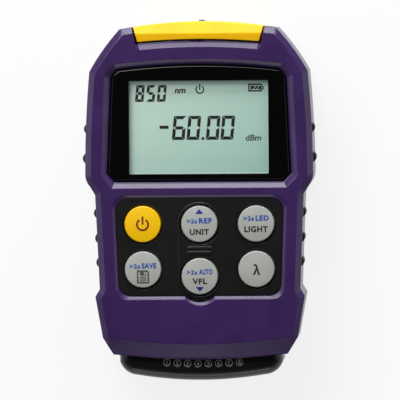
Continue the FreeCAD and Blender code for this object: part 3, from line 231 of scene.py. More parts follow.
def display_material():
    """The display's polariser film over its light guide: pale green, with a painted gradient of light and a
    faint painted glow.
    """
    material, tree, shader, place = start_material("display_polariser_green")
    low, high = (Vector(corner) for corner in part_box("lcd_panel"))
    across = add(tree, "ShaderNodeMapping", Vector=(place, "Object"), Location=-low)
    split = add(tree, "ShaderNodeSeparateXYZ", Vector=(across, "Vector"))
    spread = high - low
    right = add(tree, "ShaderNodeMath", {"operation": "DIVIDE"}, _0=(split, "X"), _1=spread.x)
    rise = add(tree, "ShaderNodeMath", {"operation": "DIVIDE"}, _0=(split, "Y"), _1=spread.y)
    fall = add(tree, "ShaderNodeMath", {"operation": "SUBTRACT"}, _0=1.0, _1=(rise, "Value"))
    total = add(tree, "ShaderNodeMath", {"operation": "ADD"}, _0=(right, "Value"), _1=(fall, "Value"))
    half = add(tree, "ShaderNodeMath", {"operation": "MULTIPLY"}, _0=(total, "Value"), _1=0.5)
    # painted light: lighter towards the top-left corner and darker towards the bottom-right, as the light
    # falls across the display
    ramp = add(tree, "ShaderNodeValToRGB", Fac=(half, "Value"))
    ramp.color_ramp.elements[0].color = colour("#c6dbd0")
    ramp.color_ramp.elements[1].color = colour("#8ab4a6")
    tree.links.new(ramp.outputs["Color"], shader.inputs["Base Color"])
    grained(tree, shader, place, 0.4, 0.01, 0.05, 0.35, 0.45)
    # a faint glow in the display's own green, set to make up the light that the window's recess shades off
    # it: painted light
    finish(shader, Emission_Color=colour("#a9c8ba"), Emission_Strength=0.2)
    return material


def pane_material():
    """Clear acrylic over the display: only a faint reflection of its polished face shows."""
    material, tree, shader, place = start_material("clear_acrylic_polished")
    finish(shader, Base_Color=colour("#0a0c0b"), IOR=1.49, Alpha=0.05)
    grained(tree, shader, place, 2.0, 0.01, 0.02, 0.04, 0.07)
    return material


FINISHES = make_materials()

# ---------------------------------------------------------------- pieces


def to_piece(name, mesh, body, finish_name, smooth=35, second_finish=None):
    """A finished object at the origin that rides on a body; smooth of None keeps its normals."""
    mesh.name = name
    piece = bpy.data.objects.new(name, mesh)
    bpy.context.scene.collection.objects.link(piece)
    mesh.materials.clear()
    mesh.materials.append(FINISHES[finish_name])
    if second_finish:
        mesh.materials.append(FINISHES[second_finish])
    if smooth:
        mesh.shade_smooth()
        mesh.set_sharp_from_angle(angle=math.radians(smooth))
    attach(piece, body)
    return piece


def baked(owner):
    """The plain mesh of an object with its modifiers applied; the object itself goes."""
    graph = bpy.context.evaluated_depsgraph_get()
    mesh = bpy.data.meshes.new_from_object(owner.evaluated_get(graph), depsgraph=graph)
    bpy.data.objects.remove(owner)
    return mesh


def merged_copy(node):
    """The CAD node's mesh with its loose triangles joined, and no more of them than its flat faces need."""
    work = bmesh.new()
    work.from_mesh(frame["nodes"][node].data)
    bmesh.ops.remove_doubles(work, verts=work.verts, dist=0.001 * MM)
    bmesh.ops.dissolve_limit(work, angle_limit=math.radians(0.5), verts=work.verts, edges=work.edges)
    bmesh.ops.triangulate(work, faces=[face for face in work.faces if len(face.verts) > 4])
    mesh = bpy.data.meshes.new(node)
    work.to_mesh(mesh)
    work.free()
    return mesh


def softened(name, node, width_mm, finish_name, segments=3, cut=None):
    """A finished copy that stands for a CAD node: its edges rounded, and an opening cut if one is given."""
    body = body_of(frame["nodes"][node])[0]
    owner = bpy.data.objects.new(name, merged_copy(node))
    owner.data.shade_smooth()
    bpy.context.scene.collection.objects.link(owner)
    if cut:
        hole = owner.modifiers.new("opening", "BOOLEAN")
        hole.object, hole.operation, hole.solver = cut, "DIFFERENCE", "EXACT"
    bevel = owner.modifiers.new("edges", "BEVEL")
    bevel.width = width_mm * MM
    bevel.segments = segments
    bevel.limit_method = "ANGLE"
    bevel.angle_limit = math.radians(LEAST_SHARP)
    bevel.use_clamp_overlap = bevel.loop_slide = False
    bevel.miter_outer = "MITER_ARC"
    flat = owner.modifiers.new("flat_faces", "WEIGHTED_NORMAL")
    flat.mode, flat.weight = "FACE_AREA", 80
    piece = to_piece(name, baked(owner), body, finish_name, smooth=None)
    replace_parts(piece, node)
    return piece


# ---------------------------------------------------------------- printing


def surface_of(piece):
    """A search tree over a piece, for laying prints on it."""
    work = bmesh.new()
    work.from_mesh(piece.data)
    tree = BVHTree.FromBMesh(work)
    work.free()
    return tree


def lay_on(mesh, surface, high):
    """Drops a flat print onto the surface below, following its curve."""
    for vertex in mesh.vertices:
        start = Vector((vertex.co.x, vertex.co.y, high))
        hit = surface.ray_cast(start, Vector((0, 0, -1)))[0]
        if hit:
            vertex.co.z += hit.z + INK


SIZE_OF_CAPITALS = 1.38  # the size at which the font's capitals are about one high


def glyphs(text, height_mm, width_mm, x, y, weight_mm, slant=0.0, spread=1.0):
    """Lettering about z = 0, fitted to a height and, if one is given, a width; centred at x, y in metres.

    Its strokes are widened by weight_mm each side, and its letters are set apart by spread.
    """
    curve = bpy.data.curves.new("lettering", "FONT")
    curve.body, curve.size = text, height_mm * SIZE_OF_CAPITALS * MM
    curve.offset, curve.space_character = weight_mm * MM, spread
    curve.shear, curve.extrude = slant, INK
    owner = bpy.data.objects.new("lettering", curve)
    bpy.context.scene.collection.objects.link(owner)
    mesh = baked(owner)
    xs = [vertex.co.x for vertex in mesh.vertices]
    ys = [vertex.co.y for vertex in mesh.vertices]
    low, high = Vector((min(xs), min(ys), 0)), Vector((max(xs), max(ys), 0))
    tall = high.y - low.y
    wide = high.x - low.x
    rise = height_mm * MM / tall
    reach = width_mm * MM / wide if width_mm else rise
    for vertex in mesh.vertices:
        from_middle = vertex.co - (low + high) / 2
        vertex.co = Vector((x + from_middle.x * reach, y + from_middle.y * rise, vertex.co.z))
    return mesh


def plate(outline, depth=INK, holes=()):
    """A thin closed slab of an outline, and of the holes in it, about z = 0; points in metres."""
    curve = bpy.data.curves.new("plate", "CURVE")
    curve.dimensions, curve.fill_mode, curve.extrude = "2D", "BOTH", depth
    for loop in (outline, *holes):
        spline = curve.splines.new("POLY")
        spline.points.add(len(loop) - 1)
        for point, (x, y) in zip(spline.points, loop):
            point.co = (x, y, 0, 1)
        spline.use_cyclic_u = True
    owner = bpy.data.objects.new("plate", curve)
    bpy.context.scene.collection.objects.link(owner)
    return baked(owner)


def joined(meshes):
    """One mesh of several."""
    work = bmesh.new()
    for mesh in meshes:
        work.from_mesh(mesh)
        bpy.data.meshes.remove(mesh)
    bmesh.ops.remove_doubles(work, verts=work.verts, dist=0.0005 * MM)
    bmesh.ops.recalc_face_normals(work, faces=work.faces)
    mesh = bpy.data.meshes.new("joined")
    work.to_mesh(mesh)
    work.free()
    return mesh


def arc_points(x, y, radius, start, end):
    """Points round an arc, in degrees anticlockwise from +X."""
    steps = 48
    turns = [math.radians(start + (end - start) * step / steps) for step in range(steps + 1)]
    return [(x + radius * math.cos(turn), y + radius * math.sin(turn)) for turn in turns]


def box_outline(left, low, right, high):
    """The corners of a rectangle, anticlockwise."""
    return [(left, low), (right, low), (right, high), (left, high)]


def finely_split(mesh, longest):
    """Splits the edges that are too long to follow a curved surface."""
    rounds = 4  # each halves the edges that are still too long
    work = bmesh.new()
    work.from_mesh(mesh)
    for _ in range(rounds):
        bmesh.ops.triangulate(work, faces=[face for face in work.faces if len(face.verts) > 3])
        too_long = [edge for edge in work.edges if edge.calc_length() > longest]
        if too_long:
            bmesh.ops.subdivide_edges(work, edges=too_long, cuts=1)
    bmesh.ops.triangulate(work, faces=[face for face in work.faces if len(face.verts) > 3])
    work.to_mesh(mesh)
    work.free()


def printed(name, meshes, body, ink, surface, high):
    """Joins a legend's shapes, lays them on what they are printed on, and makes the piece."""
    mesh = joined(meshes)
    finely_split(mesh, 0.8 * MM)
    lay_on(mesh, surface, high)
    return to_piece(name, mesh, body, ink, smooth=30)


def centre_of(node):
    """The middle of a CAD node's box."""
    low, high = (Vector(corner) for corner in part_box(node))
    return (low + high) / 2


def power_sign(x, y, radius, stroke, low, high, gap):
    """A ring open at the top, by a gap in degrees each side, with a bar from low to high through it."""
    outer = arc_points(x, y, radius + stroke / 2, 90 + gap, 450 - gap)
    inner = arc_points(x, y, radius - stroke / 2, 90 + gap, 450 - gap)
    bar = box_outline(x - stroke / 2, y + low, x + stroke / 2, y + high)
    return [plate(outer + inner[::-1]), plate(bar)]


# ---------------------------------------------------------------- case and trim


def dress_case():
    """The housing's outer pieces."""
    edge_mm, thin_edge_mm = 0.2, 0.12
    softened("case_front", "front_shell", edge_mm, "case")
    softened("case_rear", "rear_shell", edge_mm, "case")
    softened("door_panel", "battery_door", edge_mm, "door")
    softened("flap_cover", "port_flap", edge_mm, "flap")
    softened("cap_housing", "end_cap", edge_mm, "cap")
    softened("key_panel", "keypad_panel", thin_edge_mm, "keypad", segments=2)
    for side in ("left", "right"):
        softened(f"studs_{side}", f"grip_studs_{side}", edge_mm, "rubber")


def dress_inner_nodes():
    """The CAD nodes whose form is right keep it and get their finish."""
    finishes = {
        "shell_screws": "zinc", "hinge_pin": "zinc", "window_gasket": "rubber", "lcd_panel": "display",
        "lcd_backlight": "clear", "lcd_frame": "holder", "zebra_strip": "silicone",
        "main_board": "board", "lan_board": "board", "processor_chip": "epoxy", "amplifier_chip": "epoxy",
        "detector_adapter": "nickel", "laser_adapter": "nickel", "detector_module": "tinned",
        "laser_module": "tinned", "torch_led": "clear", "lan_lamps": "clear", "lan_jack": "tinned",
        "lan_jack_contacts": "gold", "battery_plates": "tinned", "battery_springs": "tinned",
        "battery_cell_1": "jacket", "battery_cell_2": "jacket", "battery_cell_3": "jacket",
    }
    for node, finish_name in finishes.items():
        mesh = frame["nodes"][node].data
        mesh.materials.clear()
        mesh.materials.append(FINISHES[finish_name])


# ---------------------------------------------------------------- display

VIEW_HALF = Vector((23.0, 15.4)) * MM  # half of the display's visible area
VIEW_MIDDLE_Y = 24.1 * MM


def view_outline(inset=0.0):
    """The edge of the visible area, drawn in by an inset."""
    half = VIEW_HALF - Vector((inset, inset))
    return box_outline(-half.x, VIEW_MIDDLE_Y - half.y, half.x, VIEW_MIDDLE_Y + half.y)


def dress_window():
    """The window: a black printed border round a clear pane."""
    low, high = (corner[2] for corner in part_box("display_window"))
    thick, middle = high - low, (high + low) / 2
    pane_half = thick * 0.45  # the pane lies a little below the border's faces
    edge_mm = 0.1
    cutter_mesh = bpy.data.meshes.new("cutter")
    work = bmesh.new()
    size = Matrix.Diagonal((VIEW_HALF.x * 2, VIEW_HALF.y * 2, thick * 3, 1))
    place = Matrix.Translation((0, VIEW_MIDDLE_Y, middle)) @ size
    bmesh.ops.create_cube(work, size=1, matrix=place)
    work.to_mesh(cutter_mesh)
    work.free()
    cutter = bpy.data.objects.new("cutter", cutter_mesh)
    bpy.context.scene.collection.objects.link(cutter)
    softened("window_border", "display_window", edge_mm, "border", segments=2, cut=cutter)
    bpy.data.objects.remove(cutter)
    pane = plate(view_outline(), depth=pane_half)
    for vertex in pane.vertices:
        vertex.co.z += middle
    to_piece("window_pane", pane, "meter", "pane")


# the lit segments of each digit: a at the top and on clockwise to f, with g across the middle
SEGMENTS = {"0": "abcdef", "5": "acdfg", "6": "acdefg", "8": "abcdefg"}
# the digits of the wavelength and of the level, in millimetres
SMALL_DIGITS = {"wide": 2.8, "tall": 5.5, "stroke": 0.88, "gap": 0.07, "pitch": 3.62}
LARGE_DIGITS = {"wide": 4.2, "tall": 7.9, "stroke": 1.05, "gap": 0.09, "pitch": 4.83}
DIGIT_SLANT = 0.095  # how far a digit leans to the right for each millimetre of its height


def segment_outlines(digit, x, y, wide, tall, stroke, gap):
    """The lit segments of one digit whose lower left corner is at x, y; a gap is left at their ends."""
    half, mid = stroke / 2, tall / 2

    def across(height, flip):
        """A bar that narrows to its ends: flip is +1 at the bottom, -1 at the top, 0 between."""
        left, right = gap, wide - gap
        if flip:
            return [(left, height), (right, height), (right - stroke, height + flip * stroke),
                    (left + stroke, height + flip * stroke)]
        return [(left + half, height), (left + stroke, height + half), (right - stroke, height + half),
                (right - half, height), (right - stroke, height - half), (left + stroke, height - half)]

    def upright(edge, flip, low, high):
        """A bar up one side: flip is +1 where the digit lies to its right, -1 where it lies to its left."""
        inner = edge + flip * stroke
        below = stroke if low < gap * 2 else half
        above = stroke if high > tall - gap * 2 else half
        return [(edge, low), (edge, high), (inner, high - above), (inner, low + below)]

    shapes = {
        "a": across(tall, -1), "d": across(0, 1), "g": across(mid, 0),
        "f": upright(0, 1, mid + gap, tall - gap), "e": upright(0, 1, gap, mid - gap),
        "b": upright(wide, -1, mid + gap, tall - gap), "c": upright(wide, -1, gap, mid - gap),
    }
    lit = [shapes[name] for name in SEGMENTS[digit]]
    return [[(x + right + up * DIGIT_SLANT, y + up) for right, up in shape] for shape in lit]


def number(text, left, base, wide, tall, stroke, gap, pitch):
    """A number of the display as plates, all in millimetres."""
    point_left, point_wide, point_tall, point_pitch = 0.18, 0.94, 0.88, 1.57
    made, at = [], left
    for sign in text:
        if sign == ".":
            corner = at + point_left
            loops = [box_outline(corner, base, corner + point_wide, base + point_tall)]
        else:
            loops = segment_outlines(sign, at, base, wide, tall, stroke, gap)
        made += [plate([(x * MM, y * MM) for x, y in loop]) for loop in loops]
        at += point_pitch if sign == "." else pitch
    return made


def dress_display():
    """What the display shows: wavelength, level, units, and its small signs."""
    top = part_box("lcd_panel")[1][2]
    middle = VIEW_MIDDLE_Y / MM
    dark = number("850", -21.1, middle + 8.45, **SMALL_DIGITS)
    dark += number("60.00", -9.0, middle - 4.2, **LARGE_DIGITS)
    minus = box_outline(-13.04, middle - 0.5, -10.08, middle + 0.5)
    dark.append(plate([(x * MM, y * MM) for x, y in minus]))
    dark.append(glyphs("nm", 1.45, 3.74, -6.17 * MM, (middle + 11.93) * MM, weight_mm=0.07, slant=0.25))
    dark += battery_sign(16.4 * MM, (middle + 11.6) * MM, 5.04 * MM, 2.65 * MM)
    faint = [glyphs("dBm", 2.0, 5.15, 17.95 * MM, (middle - 3.6) * MM, weight_mm=0.045, slant=0.15)]
    faint += power_sign(0.365 * MM, (middle + 12.4) * MM, 1.25 * MM, 0.42 * MM, -0.1 * MM, 1.85 * MM, 35)
    # a pale line round the edge of the display's view: a painted highlight
    edge_wide = 0.3 * MM
    edge = plate(view_outline(), holes=[view_outline(edge_wide)[::-1]])
    layers = {"display_figures": (dark, "segment"), "display_signs": (faint, "faint_segment"),
              "display_edge_painted_highlight": ([edge], "view_edge_painted_highlight")}
    for name, (shapes, ink) in layers.items():
        mesh = joined(shapes)
        for vertex in mesh.vertices:
            vertex.co.z += top + INK
        to_piece(name, mesh, "meter", ink, smooth=30)


def battery_sign(x, y, wide, tall):
    """A battery's frame with a pointed end, filled by three bars with leaning gaps between them."""
    bars, frame_wide, light_gap, lean = 3, 0.48 * MM, 0.28 * MM, math.tan(math.radians(35))

    def pointed(inset):
        """The frame's outline, drawn in by an inset."""
        low, high = y + inset, y + tall - inset
        body_end, tip = x + wide * 0.84 - inset * 0.4, x + wide - inset
        return [(x + inset, low), (body_end, low), (tip, y + tall * 0.34), (tip, y + tall * 0.66),
                (body_end, high), (x + inset, high)]

    inset = frame_wide + light_gap
    low, high = y + inset, y + tall - inset
    left, right = x + inset, x + wide * 0.86
    shift = (high - low) * lean
    share = (right - left - shift) / bars
    made = [plate(pointed(0), holes=[pointed(frame_wide)[::-1]])]
    for index in range(bars):
        foot_left = left + (share + light_gap / 2) * index
        foot_right = foot_left + share - light_gap / 2
        top_left = foot_left + shift if index else left
        foot_right, top_right = (right, right) if index == bars - 1 else (foot_right, foot_right + shift)
        made.append(plate([(foot_left, low), (foot_right, low), (top_right, high), (top_left, high)]))
    return made


# ---------------------------------------------------------------- keys


def spun_key(node, body, finish_name):
    """A key cap turned in fine steps, with the CAD cap's size and place."""
    low, high = (Vector(corner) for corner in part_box(node))
    middle = (low + high) / 2
    cap_radius, flange_radius = 5.95 * MM, (high.x - low.x) / 2
    flange_thick, crown_tall, roll, painted_highlight_wide = 0.9 * MM, 0.35 * MM, 0.35 * MM, 0.45 * MM
    base = low.z + 0.05 * MM  # clear of the mat below when the key is pressed home
    flange_top, edge = low.z + flange_thick, high.z - crown_tall
    reach, roll_steps, crown_steps = cap_radius - roll, 6, 8
    profile = [(0, base), (flange_radius, base), (flange_radius, flange_top), (cap_radius, flange_top)]
    for step in range(roll_steps + 1):
        turn = math.radians(90 * step / roll_steps)
        profile.append((reach + roll * math.cos(turn), edge - roll + roll * math.sin(turn)))
    for step in range(1, crown_steps + 1):
        share = 1 - step / crown_steps
        profile.append((reach * share, high.z - crown_tall * share ** 2))
    work = bmesh.new()
    verts = [work.verts.new((radius, 0, z)) for radius, z in profile]
    edges = [work.edges.new(pair) for pair in zip(verts, verts[1:])]
    bmesh.ops.spin(work, geom=verts + edges, cent=(0, 0, 0), axis=(0, 0, 1), angle=math.tau, steps=96)
    bmesh.ops.remove_doubles(work, verts=work.verts, dist=0.001 * MM)
    bmesh.ops.recalc_face_normals(work, faces=work.faces)
    bmesh.ops.translate(work, verts=work.verts, vec=(middle.x, middle.y, 0))
    for face in work.faces:
        spot = face.calc_center_median()
        from_axis = (spot - middle).to_2d().length
        # the band round the cap's edge takes the paler second finish: a painted highlight
        face.material_index = int(from_axis > cap_radius - painted_highlight_wide and spot.z > flange_top + 0.1 * MM)
    mesh = bpy.data.meshes.new(f"{node}_cap")
    work.to_mesh(mesh)
    work.free()
    piece = to_piece(f"{node}_cap", mesh, body, finish_name, smooth=40,
                     second_finish=finish_name.replace("key", "rim"))
    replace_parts(piece, node)
    return piece


def triangle(x, y, wide, tall):
    """A triangle about x, y that points up, or down where tall is negative."""
    return plate([(x - wide / 2, y - tall / 2), (x + wide / 2, y - tall / 2), (x, y + tall / 2)])


def disk_sign(x, y, wide, tall, stroke):
    """A stored-data sign: a square with a notched corner, a shutter above and a lined label below."""
    left, right, low, high = x - wide / 2, x + wide / 2, y - tall / 2, y + tall / 2
    notch = wide * 0.14
    outer = [(left, low), (right, low), (right, high - notch), (right - notch, high), (left, high)]
    inner = box_outline(left + stroke, low + stroke, right - stroke, high - stroke)
    shutter_low, shutter_high = y + tall * 0.1, high - stroke / 2
    shutter_left, shutter_right = x - wide * 0.24, x + wide * 0.26
    boxes = [
        box_outline(shutter_left, shutter_low, x + wide * 0.08, shutter_high),
        box_outline(x + wide * 0.2, shutter_low, shutter_right, shutter_high),
        box_outline(shutter_left, shutter_low, shutter_right, shutter_low + stroke * 0.6),
    ]
    for row in range(3):
        base = low + stroke + tall * (0.07 + 0.13 * row)
        boxes.append(box_outline(x - wide * 0.26, base, x + wide * 0.26, base + stroke * 0.55))
    return [plate(outer, holes=[inner[::-1]])] + [plate(outline) for outline in boxes]


def wavelength_sign(x, y, wide, tall):
    """The sign for a wavelength, as one outline given in shares of its width and height."""
    outline = [(-0.36, 0.5), (-0.36, 0.34), (-0.14, 0.34), (-0.05, 0.16), (-0.5, -0.5), (-0.2, -0.5),
               (0.06, -0.07), (0.2, -0.5), (0.5, -0.5), (0.08, 0.42), (-0.02, 0.5)]
    return plate([(x + across * wide, y + up * tall) for across, up in outline])


def key_signs(node, x, y):
    """The drawn signs of a key whose middle is at x, y, by their ink."""
    if node == "power_key":
        return {"red_ink": power_sign(x, y - 0.1 * MM, 1.85 * MM, 0.6 * MM, 0, 2.7 * MM, 34)}
    if node == "unit_key":
        return {"navy_ink": [triangle(x, y + 4.12 * MM, 2.7 * MM, 1.57 * MM)]}
    if node == "save_key":
        return {"grey_ink": disk_sign(x, y - 2.4 * MM, 4.0 * MM, 4.35 * MM, 0.5 * MM)}
    if node == "laser_key":
        return {"navy_ink": [triangle(x, y - 4.28 * MM, 2.66 * MM, -1.5 * MM)]}
    if node == "wavelength_key":
        return {"dark_ink": [wavelength_sign(x, y - 0.14 * MM, 2.4 * MM, 3.5 * MM)]}
    return {}


def held(word, total, up):
    """The legend of what a key does when it is held for two seconds, as wide in all as total."""
    sign_wide, gap = 3.45, 0.58
    word_wide = total - sign_wide - gap
    return [("blue_ink", ">2s", 1.5, sign_wide, (sign_wide - total) / 2, up - 0.13, 0.07),
            ("blue_ink", word, 1.78, word_wide, (total - word_wide) / 2, up, 0.1)]


# each key: its body, its finish, and its legends in millimetres: ink, text, height, width, right, up, weight
KEYS = {
    "power_key": ("power_button", "yellow_key", []),
    "unit_key": ("unit_button", "grey_key",
                 held("REF", 8.37, 1.04) + [("dark_ink", "UNIT", 1.97, 6.35, 0, -2.68, 0.1)]),
    "light_key": ("light_button", "grey_key",
                  held("LED", 8.38, 1.85) + [("dark_ink", "LIGHT", 2.0, 7.75, 0, -1.83, 0.1)]),
    "save_key": ("save_button", "grey_key", held("SAVE", 8.8, 1.25)),
    "laser_key": ("laser_button", "grey_key",
                  held("AUTO", 8.5, 1.46) + [("dark_ink", "VFL", 1.9, 4.85, 0, -1.67, 0.1)]),
    "wavelength_key": ("wavelength_button", "grey_key", []),
}
LETTER_SPREAD = 1.13  # the pitch of a legend's letters, as a share of the font's own


def dress_keys():
    """The key caps, and what is printed on each."""
    for node, (body, finish_name, legends) in KEYS.items():
        surface = surface_of(spun_key(node, body, finish_name))
        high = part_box(node)[1][2] + ABOVE
        spot = centre_of(node)
        inks = {}
        for ink, text, tall, wide, right, up, weight in legends:
            x, y = spot.x + right * MM, spot.y + up * MM
            shape = glyphs(text, tall, wide, x, y, weight, spread=LETTER_SPREAD)
            inks.setdefault(ink, []).append(shape)
        inks.update(key_signs(node, spot.x, spot.y))
        for ink, shapes in inks.items():
            printed(f"{node}_{ink}", shapes, body, ink, surface, high)


def part_of_mat(mat, height, keep_above, spot=None, reach=0.0):
    """The mat's part above or below a height, closed by a cut; only within reach of a spot, if given."""
    work = bmesh.new()
    work.from_mesh(mat)
    everything = list(work.verts) + list(work.edges) + list(work.faces)
    cut = bmesh.ops.bisect_plane(work, geom=everything, plane_co=(0, 0, height), plane_no=(0, 0, 1),
                                 clear_inner=keep_above, clear_outer=not keep_above)
    rim = [item for item in cut["geom_cut"] if isinstance(item, bmesh.types.BMEdge)]
    bmesh.ops.holes_fill(work, edges=rim)
    far = [vertex for vertex in work.verts if spot and (vertex.co - spot).to_2d().length > reach]
    bmesh.ops.delete(work, geom=far, context="VERTS")
    bmesh.ops.recalc_face_normals(work, faces=work.faces)
    mesh = bpy.data.meshes.new("mat_part")
    work.to_mesh(mesh)
    work.free()
    return mesh


def dress_mat():
    """The key mat: its sheet, and the dome under each key cut off as a piece of its own."""
    mat = merged_copy("keypad_mat")
    low, high = (Vector(corner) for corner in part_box("keypad_mat"))
    travel, root, dome_reach = 0.8 * MM, low.z + 1.01 * MM, 6.4 * MM
    sheet = part_of_mat(mat, root, keep_above=False)
    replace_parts(to_piece("mat_sheet", sheet, "meter", "silicone", smooth=30), "keypad_mat")
    for node, (body, _, _) in KEYS.items():
        spot = centre_of(node)
        mesh = part_of_mat(mat, root, keep_above=True, spot=spot, reach=dome_reach)
        dome = to_piece(f"mat_dome_{node}", mesh, "meter", "silicone", smooth=30)
        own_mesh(dome)
        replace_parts(dome, "keypad_mat")


# ---------------------------------------------------------------- what repeats


def grown(name, shape, finish_name, **sizes):
    """The plain mesh that a node tree makes of its named sizes; shape adds the nodes that draw it."""
    tree = bpy.data.node_groups.new(name, "GeometryNodeTree")
    tree.interface.new_socket(name="Geometry", in_out="OUTPUT", socket_type="NodeSocketGeometry")
    for label, size in sizes.items():
        kind = "NodeSocketInt" if isinstance(size, int) else "NodeSocketFloat"
        tree.interface.new_socket(name=label, in_out="INPUT", socket_type=kind)
    tree.interface.new_socket(name="Finish", in_out="INPUT", socket_type="NodeSocketMaterial")
    given = add(tree, "NodeGroupInput")
    whole = add(tree, "GeometryNodeRealizeInstances", Geometry=(shape(tree, given), "Instances"))
    finished = add(tree, "GeometryNodeSetMaterial", Geometry=(whole, "Geometry"), Material=(given, "Finish"))
    add(tree, "NodeGroupOutput", Geometry=(finished, "Geometry"))
    owner = bpy.data.objects.new(name, bpy.data.meshes.new(name))
    bpy.context.scene.collection.objects.link(owner)
    modifier = owner.modifiers.new(name, "NODES")
    modifier.node_group = tree
    values = {**sizes, "Finish": FINISHES[finish_name]}
    for item in tree.interface.items_tree:
        if item.in_out == "INPUT":
            modifier[item.identifier] = values[item.name]
    return baked(owner)


def centred_row(tree, given):
    """Points along X, evenly spaced about the middle, and the node that gives half of the row's length."""
    gaps = add(tree, "ShaderNodeMath", {"operation": "SUBTRACT"}, _0=(given, "Count"), _1=1.0)
    whole = add(tree, "ShaderNodeMath", {"operation": "MULTIPLY"}, _0=(gaps, "Value"), _1=(given, "Pitch"))
    half = add(tree, "ShaderNodeMath", {"operation": "MULTIPLY"}, _0=(whole, "Value"), _1=0.5)
    first = add(tree, "ShaderNodeMath", {"operation": "MULTIPLY"}, _0=(half, "Value"), _1=-1.0)
    start = add(tree, "ShaderNodeCombineXYZ", X=(first, "Value"))
    step = add(tree, "ShaderNodeCombineXYZ", X=(given, "Pitch"))
    row = add(tree, "GeometryNodeMeshLine", {"mode": "OFFSET"}, Count=(given, "Count"),
              Start_Location=(start, "Vector"), Offset=(step, "Vector"))
    return row, half


def ring_row(tree, given):
    """Flat rings along a row whose middle hangs lower than its ends."""
    row, half = centred_row(tree, given)
    place = add(tree, "GeometryNodeInputPosition")
    split = add(tree, "ShaderNodeSeparateXYZ", Vector=(place, "Position"))
    share = add(tree, "ShaderNodeMath", {"operation": "DIVIDE"}, _0=(split, "X"), _1=(half, "Value"))
    square = add(tree, "ShaderNodeMath", {"operation": "MULTIPLY"}, _0=(share, "Value"), _1=(share, "Value"))
    rise = add(tree, "ShaderNodeMath", {"operation": "MULTIPLY"}, _0=(square, "Value"), _1=(given, "Bow"))
    lift = add(tree, "ShaderNodeCombineXYZ", Y=(rise, "Value"))
    bowed = add(tree, "GeometryNodeSetPosition", Geometry=(row, "Mesh"), Offset=(lift, "Vector"))
    loop = add(tree, "GeometryNodeCurvePrimitiveCircle", Resolution=40, Radius=(given, "Radius"))
    section = add(tree, "GeometryNodeCurvePrimitiveQuadrilateral",
                  Width=(given, "Stroke"), Height=(given, "Thickness"))
    ring_mesh = add(tree, "GeometryNodeCurveToMesh", Curve=(loop, "Curve"), Profile_Curve=(section, "Curve"))
    return add(tree, "GeometryNodeInstanceOnPoints", Points=(bowed, "Geometry"), Instance=(ring_mesh, "Mesh"))


def thread_row(tree, given):
    """Helical ridges round +Y, side by side in a row."""
    row, _ = centred_row(tree, given)
    helix = add(tree, "GeometryNodeCurveSpiral", Resolution=36, Rotations=(given, "Turns"),
                Start_Radius=(given, "Radius"), End_Radius=(given, "Radius"), Height=(given, "Length"))
    section = add(tree, "GeometryNodeCurvePrimitiveCircle", Resolution=3, Radius=(given, "Depth"))
    ridge = add(tree, "GeometryNodeCurveToMesh", Curve=(helix, "Curve"), Profile_Curve=(section, "Curve"),
                Fill_Caps=True)
    lying = add(tree, "GeometryNodeTransform", Geometry=(ridge, "Mesh"), Rotation=(-math.pi / 2, 0, 0))
    return add(tree, "GeometryNodeInstanceOnPoints", Points=(row, "Mesh"), Instance=(lying, "Geometry"))


def dress_wire_map():
    """The ringed numbers 1 to 8 on the end cap, along a shallow arc over its lamps."""
    surface = surface_of(bpy.data.objects["cap_housing"])
    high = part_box("end_cap")[1][2] + ABOVE
    count, numeral_tall, numeral_weight = 8, 1.25, 0.02
    first_x, last_x, end_y, bow = -11.35 * MM, 12.67 * MM, -53.9 * MM, 0.45 * MM
    pitch, middle = (last_x - first_x) / (count - 1), (first_x + last_x) / 2
    rings = grown("ring_row", ring_row, "white_ink", Count=count, Pitch=pitch, Bow=bow, Radius=1.11 * MM,
                  Stroke=0.18 * MM, Thickness=2 * INK)
    rings.transform(Matrix.Translation((middle, end_y - bow, 0)))
    shapes = [rings]
    for index in range(count):
        x = first_x + pitch * index
        y = end_y - bow * (1 - ((x - middle) / (last_x - middle)) ** 2)
        shapes.append(glyphs(str(index + 1), numeral_tall, None, x, y, numeral_weight))
    printed("wire_map_numbers", shapes, "meter", "white_ink", surface, high)


def dress_threads():
    """The threads on the noses of the two adapters, which take a plug's nut."""
    laser, detector = centre_of("laser_adapter"), centre_of("detector_adapter")
    nose_radius, thread_start, thread_length = 3.6 * MM, 52.5 * MM, 1.3 * MM
    lead, depth = 0.5 * MM, 0.22 * MM
    ridges = grown("thread_row", thread_row, "nickel", Count=2, Pitch=abs(laser.x - detector.x),
                   Turns=thread_length / lead, Radius=nose_radius, Length=thread_length, Depth=depth)
    ridges.transform(Matrix.Translation(((laser.x + detector.x) / 2, thread_start, laser.z)))
    to_piece("adapter_threads", ridges, "meter", "nickel", smooth=50)


# ---------------------------------------------------------------- studio


def lamp(name, place, aim, size, power):
    """A soft box of a size in metres, that faces its aim."""
    light = bpy.data.lights.new(name, "AREA")
    light.shape, light.size, light.size_y, light.energy = "RECTANGLE", size[0], size[1], power
    owner = bpy.data.objects.new(name, light)
    owner.location = place
    owner.rotation_euler = (Vector(aim) - Vector(place)).to_track_quat("-Z", "Y").to_euler()
    bpy.context.scene.collection.objects.link(owner)


def seen_directly(tree, *kinds):
    """The output that is one for the camera's rays and for rays of the given kinds."""
    path = add(tree, "ShaderNodeLightPath")
    seen = (path, "Is Camera Ray")
    for kind in kinds:
        either = add(tree, "ShaderNodeMath", {"operation": "MAXIMUM"}, _0=seen, _1=(path, kind))
        seen = (either, "Value")
    return seen


